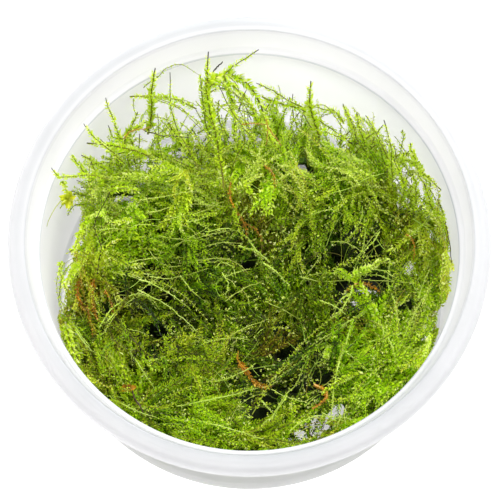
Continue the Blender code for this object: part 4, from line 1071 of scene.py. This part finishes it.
# Kind, then the places in plan that each strand runs over.
LAID_STRANDS = [
    "lime_thick", [(21.9, -9.4), (21.2, -11.4), (20.5, -14.3), (19.2, -17.6), (18.5, -20.6), (17.9, -23.6),
        (17.5, -26.4), (17.2, -29.8), (17, -31.9)],
    "leafy", [(24.4, -22.1), (21.6, -22.1), (19.2, -23.5), (16.8, -24.8), (14.8, -26.3)],
    "pale", [(15.4, -14.2), (12.5, -16.3), (10.1, -19.3), (7.7, -21.2), (5.2, -23.1), (3.8, -24.7)],
    "lime", [(12.5, -17.9), (11.4, -19.8), (10.6, -21.8), (9.7, -24.3)],
    "tuft", [(16.9, -15.2), (16.5, -17), (15.4, -18.9)],
    "lime", [(19.7, -16.3), (22.4, -18.6), (24.9, -21.8)],
    "pale", [(4.5, -25.3), (7.1, -27.1), (9.5, -27.9), (11.4, -28.3), (13.4, -26.9)],
    "lime", [(2.3, -27.4), (4, -29.5), (6, -31.6)],
    [(7.8, -27.1), (6, -29.6), (4, -31.9), (2.6, -33.3)],
    [(24.2, 11.7), (24.4, 8.7), (23.8, 5.3), (22.1, 2), (21.7, 0.2)],
    "tuft", [(21.9, 0.4), (23.8, 1.5), (25.5, 1.7), (28.8, 2.8)],
    [(18.1, 2.4), (20.2, 0.7), (21.7, -0.1)],
    "pale", [(10.7, 1.2), (15.4, -0.2), (20.2, -0.5), (21.9, 0.2)],
    "lime", [(21.9, 0.2), (25.5, 1.1), (28.6, 0.4), (32.6, -1.8)],
    "pale", [(21.9, 0.2), (25.1, -0.7), (29.7, -1.4), (33.9, -2)],
    "lime_thick", [(21.7, -1.7), (21.2, -4.2), (19.5, -7.2), (17.4, -9)],
    "lime", [(29.6, 2.8), (29.3, -2.2), (30.4, -6.2), (31.2, -11.7)],
    "lime_thick", [(26.5, -7), (23.7, -8.3), (21.2, -9.6), (18.4, -12), (15.9, -14.3)],
    "lime", [(14.9, -4.9), (18, -6.8), (20.4, -8.3)],
    [(-30.1, -11.4), (-27.3, -7.8), (-24.8, -5.5), (-22.5, -4.4), (-20.5, -5), (-19.1, -6.7)],
    [(-23.4, -1.2), (-20.5, -1.9), (-17.7, -3.2), (-14.7, -5.2), (-12.6, -6.3)],
    "pale", [(-19.4, 8.7), (-16.2, 8), (-12.6, 7.8), (-8.4, 8.8)],
    [(-16.4, 6.5), (-13.7, 7.7), (-9.9, 10.1), (-8, 11.7)],
    [(-20, 5), (-16.6, 6.3), (-13.5, 7.7)],
    [(-16.7, 5.2), (-12.6, 3.7), (-9.4, 3.6), (-4.1, 4.7)],
    [(-16.7, 3.9), (-12.2, 3.8), (-7.3, 4.8)],
    [(-21, -0.4), (-16.8, -0.2), (-13.7, 0.7), (-8.8, 2.4)],
    "lime", [(-14.7, 0.6), (-12.6, -2.3), (-10.5, -3.6), (-8.4, -5.1)],
    [(-11.1, 1.3), (-10.3, -1), (-9.9, -3.5)],
    "pale", [(-23.2, 15.2), (-17.9, 16.2), (-13.6, 16.9), (-9.4, 17.4)],
    [(-21.1, 13), (-15.8, 14.4), (-10.5, 15.1), (-5.2, 14.4)],
    [(-19, 11.2), (-13.7, 12.4), (-8.4, 14.4), (-5, 15.3)],
    "lime", [(-13.4, 11), (-10.5, 12.2), (-7.1, 14.1)],
    [(-9.4, 9.8), (-5.2, 10.4), (-2, 10), (0.5, 8.6)],
    [(-2.9, 11.9), (-1.4, 13.6), (-0.3, 14.8)],
    "pale", [(-12.6, 6.5), (-7.3, 7.5), (-2, 7.8)],
    [(-25.3, 2.5), (-21.1, 3.8), (-16.9, 5)],
    [(-25.7, 9.6), (-22.1, 10.4), (-19, 10.4)],
    "lime", [(-31.5, 8.5), (-29, 9.1), (-26.5, 9.4)],
    "lime_thick", [(-2.4, 7.4), (1.2, 6.5), (4.4, 3.8)],
    [(-0.3, 9), (1.4, 6.5), (2.7, 4)],
    [(2.7, 4), (5.4, 1.9), (8.6, -1.1)],
    "lime", [(-7.3, 2.6), (-5.8, 3.8), (-3.7, 2.8), (-2.9, 0.6)],
    [(-5.8, 1.6), (-4.6, -0.7), (-5, -3.3)],
    "pale", [(-14.2, -15.3), (-9.4, -13.7), (-4.5, -13.5)],
    [(-27.2, -15.6), (-26.6, -12.4), (-27, -10)],
    [(-24.7, -14.3), (-24.9, -17), (-24.5, -19.3)],
    [(-25.6, -11.8), (-23.1, -12.1), (-21.4, -12.7)],
    "tuft", [(-38.1, 4), (-37.2, 2.7), (-36.4, 1.4)],
    "lime", [(-36.5, -12.2), (-35, -14.6), (-33, -17.1)],
    [(-37.4, -10.2), (-35.7, -12.9), (-33.5, -15.8)],
    "pale", [(15.2, -30.4), (17.8, -31.2), (21.2, -30.4)],
    "lime", [(15.8, -32.8), (18.6, -31.6), (21.6, -32)],
    "pale", [(18.6, -28.6), (18.9, -31.2), (18.3, -33.6)],
    [(20.3, -29), (19.8, -31), (20.1, -33)],
    "lime", [(-31.5, -12), (-28.6, -7.6), (-25, -4.6), (-21.8, -4.4), (-19.4, -7)],
    [(-23.6, -3.4), (-18, -5.6), (-13, -9.4), (-8.6, -13.8)],
    "leafy", [(-1.2, 18.8), (0.6, 16.8), (1.9, 14.2)],
    [(2.8, 18.6), (1.7, 16.2), (0.4, 13.8)],
]

# How high over the mat they lie, and the height at which their places were read from the photo.
LAID_LIFT = 2.8
LAID_SEEN_AT = 1.6

LOOSE_THREADS = 260
THREAD_RADIUS = 0.09
THREAD_POINTS = 12
THREAD_RISE = 2.2
THREAD_LIFT = 1.2
THREAD_SWAY = 0.8
THREAD_REACH = 38
PALE_TIPS_AND_PAINTED_GLINTS = 3200
PALE_TIP_SIZE = 0.23
TIP_EDGE = 8

thread_draw = np.random.default_rng(31)


def laid_line(knots, lift):
    """A smooth line over the mat, seen over the places in plan from the camera [1, point, xyz]."""
    line = smooth_line([(x, y, 0.0) for x, y in knots], SPRIG_POINTS)
    line[0, :, 2] = mat_height(line[0, :, 0], line[0, :, 1]) + lift
    line[0, :, 1] -= VIEW_SLOPE * (lift - LAID_SEEN_AT)
    return line


def scattered(draw, count, back, reach):
    """Places in plan on the mat, from its front to this far back and within this reach."""
    x = draw.uniform(-THREAD_REACH, THREAD_REACH, count * 3)
    y = draw.uniform(-THREAD_REACH, back, count * 3)
    inside = (mat_height(x, y) > MAT_FLOOR + TIP_EDGE) & (np.hypot(x, y) < reach)
    return x[inside][:count], y[inside][:count]


thread_parts = []
for kind, ends in of_kinds(FINE_THREADS):
    sway = thread_draw.normal(0, THREAD_SWAY)
    line = low_line(*ends, THREAD_RISE, sway, THREAD_POINTS) + (0, 0, THREAD_LIFT)
    thread_parts += kept_shoot(thread_draw, line, kind)
for kind, knots in of_kinds(LAID_STRANDS):
    line = laid_line(knots, LAID_LIFT + thread_draw.uniform(-0.5, 0.8))
    thread_parts += kept_shoot(thread_draw, line, kind)
x, y = scattered(thread_draw, LOOSE_THREADS, 26, THREAD_REACH)
flow = growth_at(x, y)[0]
roots = np.stack([x, y, mat_height(x, y) + thread_draw.uniform(-1.5, 1.5, len(x))], axis=-1)
heading = flow + thread_draw.normal(0, 1.0, len(x))
rise = thread_draw.normal(0.15, 0.2, len(x))
size = thread_draw.uniform(5, 15, len(x))
thread_lines = grown_lines(thread_draw, roots, heading, rise, size, 1.2, 0.5, 10)
top = mat_height(thread_lines[..., 0], thread_lines[..., 1])
thread_lines[..., 2] = np.clip(thread_lines[..., 2], top - 1.0, top + 3.0)
thread_lines = kept_in_well(thread_lines)
crossing = thread_draw.uniform(0, 1, len(thread_lines)) < GAP_CROSSING
thread_lines = thread_lines[clear_of(thread_lines, SEEN_THROUGH) | crossing]
thread_tone = thread_draw.uniform(0.35, 1.0, len(thread_lines))
thread_hue = np.clip(thread_draw.normal(0.15, 0.15, len(thread_lines)), 0, 1)
thread_parts.append((stems(thread_lines, THREAD_RADIUS, 0.6, thread_tone, thread_hue), 1))

# A pale tip, a leaf tip painted nearly white as a painted highlight, is a tiny bud of three crossed leaves.
x, y = scattered(thread_draw, PALE_TIPS_AND_PAINTED_GLINTS, 22, MAT_REACH)
tips = np.stack([x, y, mat_height(x, y) + thread_draw.normal(0.4, 0.9, len(x))], axis=-1)
tips = tips[depth_in_gaps(tips, SEEN_THROUGH + DARK_HOLLOWS) < 0]
tip_way = unit(thread_draw.normal(0, 1, (len(tips), 1, 3)))
tip_lines = tips[:, None] + np.array([0, 0.2, 0.5])[None, :, None] * tip_way
tip_tone = thread_draw.uniform(0.80, 0.98, len(tips))
tip_hue = thread_draw.uniform(0.1, 0.6, len(tips))
thread_parts.append((leaves(thread_draw, tip_lines, 3, PALE_TIP_SIZE * 2.2, PALE_TIP_SIZE * 1.6, 0.7,
                            tip_tone, tip_hue), 0))
moss_piece("fine_threads", thread_parts, ["moss_mat"])

# ---------------------------------------------------------------------------------------------
# Dry shoots. Here and there a shoot has died, and its stem and leaves have turned orange-brown.
# They lie on the living growth and are caught in it.

# Kind, then x and y of one end and of the other, and the rise between them.
DRY_SHOOTS = [
    "dry_thick", (13.6, -24, 13.2, -29.5, 2),
    "dry_leafy", (20.5, -3, 27.5, -3.5, 1.5), (-32.6, -1.5, -31.4, -11, 1.5), (-2, -18.7, 0.6, -23.2, 1.5),
    "dry", (-30.4, -3.7, -28.5, -9.5, 1.5),
    "dry_leafy", (0.4, -23, 4.8, -24.6, 1),
    "dry", (0.1, -22.4, -2.4, -16.4, 1), (-1.2, 11.9, 2.7, 8.3, 1),
    "dry_leafy", (-35.6, -1, -34.6, -8, 1),
    "dry", (-34.2, -7, -33, -14, 1), (3, 23, 5, 17, 1.5), (-4, 19, -1.5, 12.5, 1.5),
        (-2.5, 13.5, -0.5, 9, 1.5), (33, 8, 34.5, 3, 1),
]

# Dead moss leaves are papery and matt, and let through less light than living ones.
dry_leaf = palette_material(
    "moss_leaf_dry",
    [(0.0, "#4A3204"), (0.3, "#A07008"), (0.6, "#E0AC18"), (1.0, "#F2D468")],
    [(0.0, "#3A2404"), (0.3, "#885A08"), (0.6, "#CE9014"), (1.0, "#E8C660")],
    0.6, 0.3)

DRY_LIFT = 1.0
dry_parts = []
for kind, ends in of_kinds(DRY_SHOOTS):
    line = low_line(*ends, thread_draw.normal(0, THREAD_SWAY), THREAD_POINTS) + (0, 0, DRY_LIFT)
    dry_parts += kept_shoot(thread_draw, line, kind)
moss_piece("dry_shoots", dry_parts, [f"dry_shoot_{i:02d}" for i in range(1, 5)], dry_leaf)

# ---------------------------------------------------------------------------------------------
# The yellow bud. One shoot at the left ends in a rosette of broad yellow leaves, and a bare
# yellowish runner hangs from it along the wall.

BUD_PLACE = (-37.7, 10.9, 35.6)
BUD_LEAVES = 22
BUD_LEAF_LENGTH = 2.1
BUD_LEAF_WIDTH = 1.2
BUD_SPREAD = 1.15
RUNNER_MARGIN = 0.4
BUD_RUNNER = [(-38.2, 11, 35.2), (-39.4, 10.7, 35), (-40.8, 8.9, 34.5), (-41.9, 7, 33.5), (-42.3, 6, 32.5)]

# Young moss leaves are broad and thin, and shine yellow where the light comes through them.
bud_leaf = palette_material(
    "moss_leaf_young_yellow",
    [(0.0, "#5A6A0C"), (0.4, "#A4B812"), (0.7, "#CCDC24"), (1.0, "#F2F690")],
    [(0.0, "#5A3A0C"), (0.4, "#A88A18"), (0.7, "#D8C430"), (1.0, "#F4ECA0")],
    0.4, 0.45)
bud_draw = np.random.default_rng(5)
bud_axis = np.array(BUD_PLACE) + np.array([[(0.0, 0.0, 0.0), (-0.05, -0.15, 0.3), (-0.1, -0.3, 0.6)]])
runner = kept_in_well(smooth_line(BUD_RUNNER, THREAD_POINTS), RUNNER_MARGIN)
moss_piece("yellow_bud_rosette", [
    (leaves(bud_draw, bud_axis, BUD_LEAVES, BUD_LEAF_LENGTH, BUD_LEAF_WIDTH, BUD_SPREAD,
            np.array([0.66]), np.array([0.2])), 0),
    (stems(runner, STEM_RADIUS, 0.6, np.array([0.8]), np.array([0.3]), SPRIG_SIDES), 1),
], ["yellow_bud"], bud_leaf)

# ---------------------------------------------------------------------------------------------
# The dead scrap. A curled brown leaf from another plant lies near the front left, with its dark
# stalk.

SCRAP_PLACE = (-25.5, -25.5)
SCRAP_LENGTH = 3.8
SCRAP_WIDTH = 1.7
SCRAP_TURN = math.radians(18)
SCRAP_ROWS = 13
SCRAP_LIFT = 2.2
SCRAP_STALK = [(-24.5, -26), (-24, -28), (-23, -29.5), (-22.2, -31)]
STALK_LIFT = 2.4
STALK_RADIUS = 0.2

scrap_share = np.linspace(0, 1, SCRAP_ROWS)
scrap_half = SCRAP_WIDTH / 2 * np.sin(math.pi * np.clip(scrap_share, 0.04, 0.96)) ** 0.7
scrap_points = []
for share, half in zip(scrap_share, scrap_half):
    along = (share - 0.5) * SCRAP_LENGTH
    for across in (-1.0, -0.5, 0.0, 0.5, 1.0):
        lift = 0.7 * abs(across) ** 2 * (1.4 - share) + 0.45 * math.sin(share * 5.0)
        half = half * (1.0 + 0.06 * math.sin(share * 23.0 + across))
        scrap_points.append((
            SCRAP_PLACE[0] + along * math.cos(SCRAP_TURN) - across * half * math.sin(SCRAP_TURN),
            SCRAP_PLACE[1] + along * math.sin(SCRAP_TURN) + across * half * math.cos(SCRAP_TURN),
            lift,
        ))
scrap_points = np.array(scrap_points)
scrap_points[:, 2] += float(mat_height(*SCRAP_PLACE)) + SCRAP_LIFT
scrap_triangles = []
for row in range(SCRAP_ROWS - 1):
    for k in range(4):
        a = row * 5 + k
        scrap_triangles += [(a, a + 1, a + 6), (a, a + 6, a + 5)]
scrap_tone = np.repeat(0.32 + 0.2 * np.sin(scrap_share * 9.0), 5)
scrap_tone = scrap_tone + np.tile([0.1, 0.0, -0.12, 0.0, 0.1], SCRAP_ROWS)
scrap_uv = np.stack([scrap_tone, np.full(len(scrap_tone), 0.6)], axis=-1)
stalk = smooth_line([(x, y, float(mat_height(x, y)) + STALK_LIFT) for x, y in SCRAP_STALK], THREAD_POINTS)
moss_piece("dead_scrap_leaf", [
    ((scrap_points, np.array(scrap_triangles), scrap_uv), 0),
    (stems(stalk, STALK_RADIUS, 0.7, np.array([0.08]), np.array([0.9]), SPRIG_SIDES), 1),
], ["dead_scrap"], dry_leaf)

# ---------------------------------------------------------------------------------------------
# The table that the cup stands on, the soft studio light and the camera. The photo looks down
# at 71 degrees from the front, from so far away that near and far are drawn almost alike.

TABLE_REACH = 2.0
table_mesh = bpy.data.meshes.new("table")
corners = [(x * TABLE_REACH, y * TABLE_REACH, 0) for x, y in ((-1, -1), (1, -1), (1, 1), (-1, 1))]
table_mesh.from_pydata(corners, [], [(0, 1, 2, 3)])
table = bpy.data.objects.new("table", table_mesh)
bpy.context.scene.collection.objects.link(table)

# White laminated board, lit from below like a light table, so it stays white in the photo.
table_white = blank_material("table_white_matt")
tree = table_white.node_tree
board = add(tree, "ShaderNodeBsdfPrincipled", {
    "Base Color": linear("#BCBCBC"), "Roughness": 0.9,
    "Emission Color": linear("#FFFFFF"), "Emission Strength": 1.0,
})
add(tree, "ShaderNodeOutputMaterial", {"Surface": board.outputs["BSDF"]})
table_mesh.materials.append(table_white)

world = bpy.data.worlds.new("studio")
bpy.context.scene.world = world
world.use_nodes = True
world.node_tree.nodes["Background"].inputs["Color"].default_value = (1, 1, 1, 1)
world.node_tree.nodes["Background"].inputs["Strength"].default_value = 1.0

# One square soft box behind the cup on the right faces the moss.
SOFT_BOX_PLACE = Vector((0.2, 0.5, 0.6))
SOFT_BOX_AIM = Vector((0, 0, 0.02))
SOFT_BOX_SIDE = 0.4
SOFT_BOX_WATTS = 9.0
lamp = bpy.data.lights.new("soft_box_back", "AREA")
lamp.size = SOFT_BOX_SIDE
lamp.energy = SOFT_BOX_WATTS
soft_box = bpy.data.objects.new("soft_box_back", lamp)
soft_box.location = SOFT_BOX_PLACE
soft_box.rotation_euler = (SOFT_BOX_AIM - SOFT_BOX_PLACE).to_track_quat("-Z", "Y").to_euler()
bpy.context.scene.collection.objects.link(soft_box)

CAMERA_ELEVATION = math.radians(71.1)
CAMERA_DISTANCE = 0.9
PHOTO_SIDE = 500
PIXELS_PER_METRE = 4814
SHIFT_RIGHT_PIXELS = 0.5
SHIFT_UP_PIXELS = -0.7
SENSOR = 36.0
target = Vector((0, 0, WELL_HEIGHTS[1] * MM))
camera_data = bpy.data.cameras.new("camera")
camera_data.sensor_width = SENSOR
camera_data.lens = PIXELS_PER_METRE * CAMERA_DISTANCE / PHOTO_SIDE * SENSOR
camera_data.shift_x = SHIFT_RIGHT_PIXELS / PHOTO_SIDE
camera_data.shift_y = SHIFT_UP_PIXELS / PHOTO_SIDE
camera_data.clip_start = 0.05
camera = bpy.data.objects.new("camera", camera_data)
away = Vector((0, -math.cos(CAMERA_ELEVATION), math.sin(CAMERA_ELEVATION)))
camera.location = target + away * CAMERA_DISTANCE
camera.rotation_euler = (-away).to_track_quat("-Z", "Y").to_euler()
bpy.context.scene.collection.objects.link(camera)
bpy.context.scene.camera = camera

bpy.context.scene.view_settings.view_transform = "Standard"
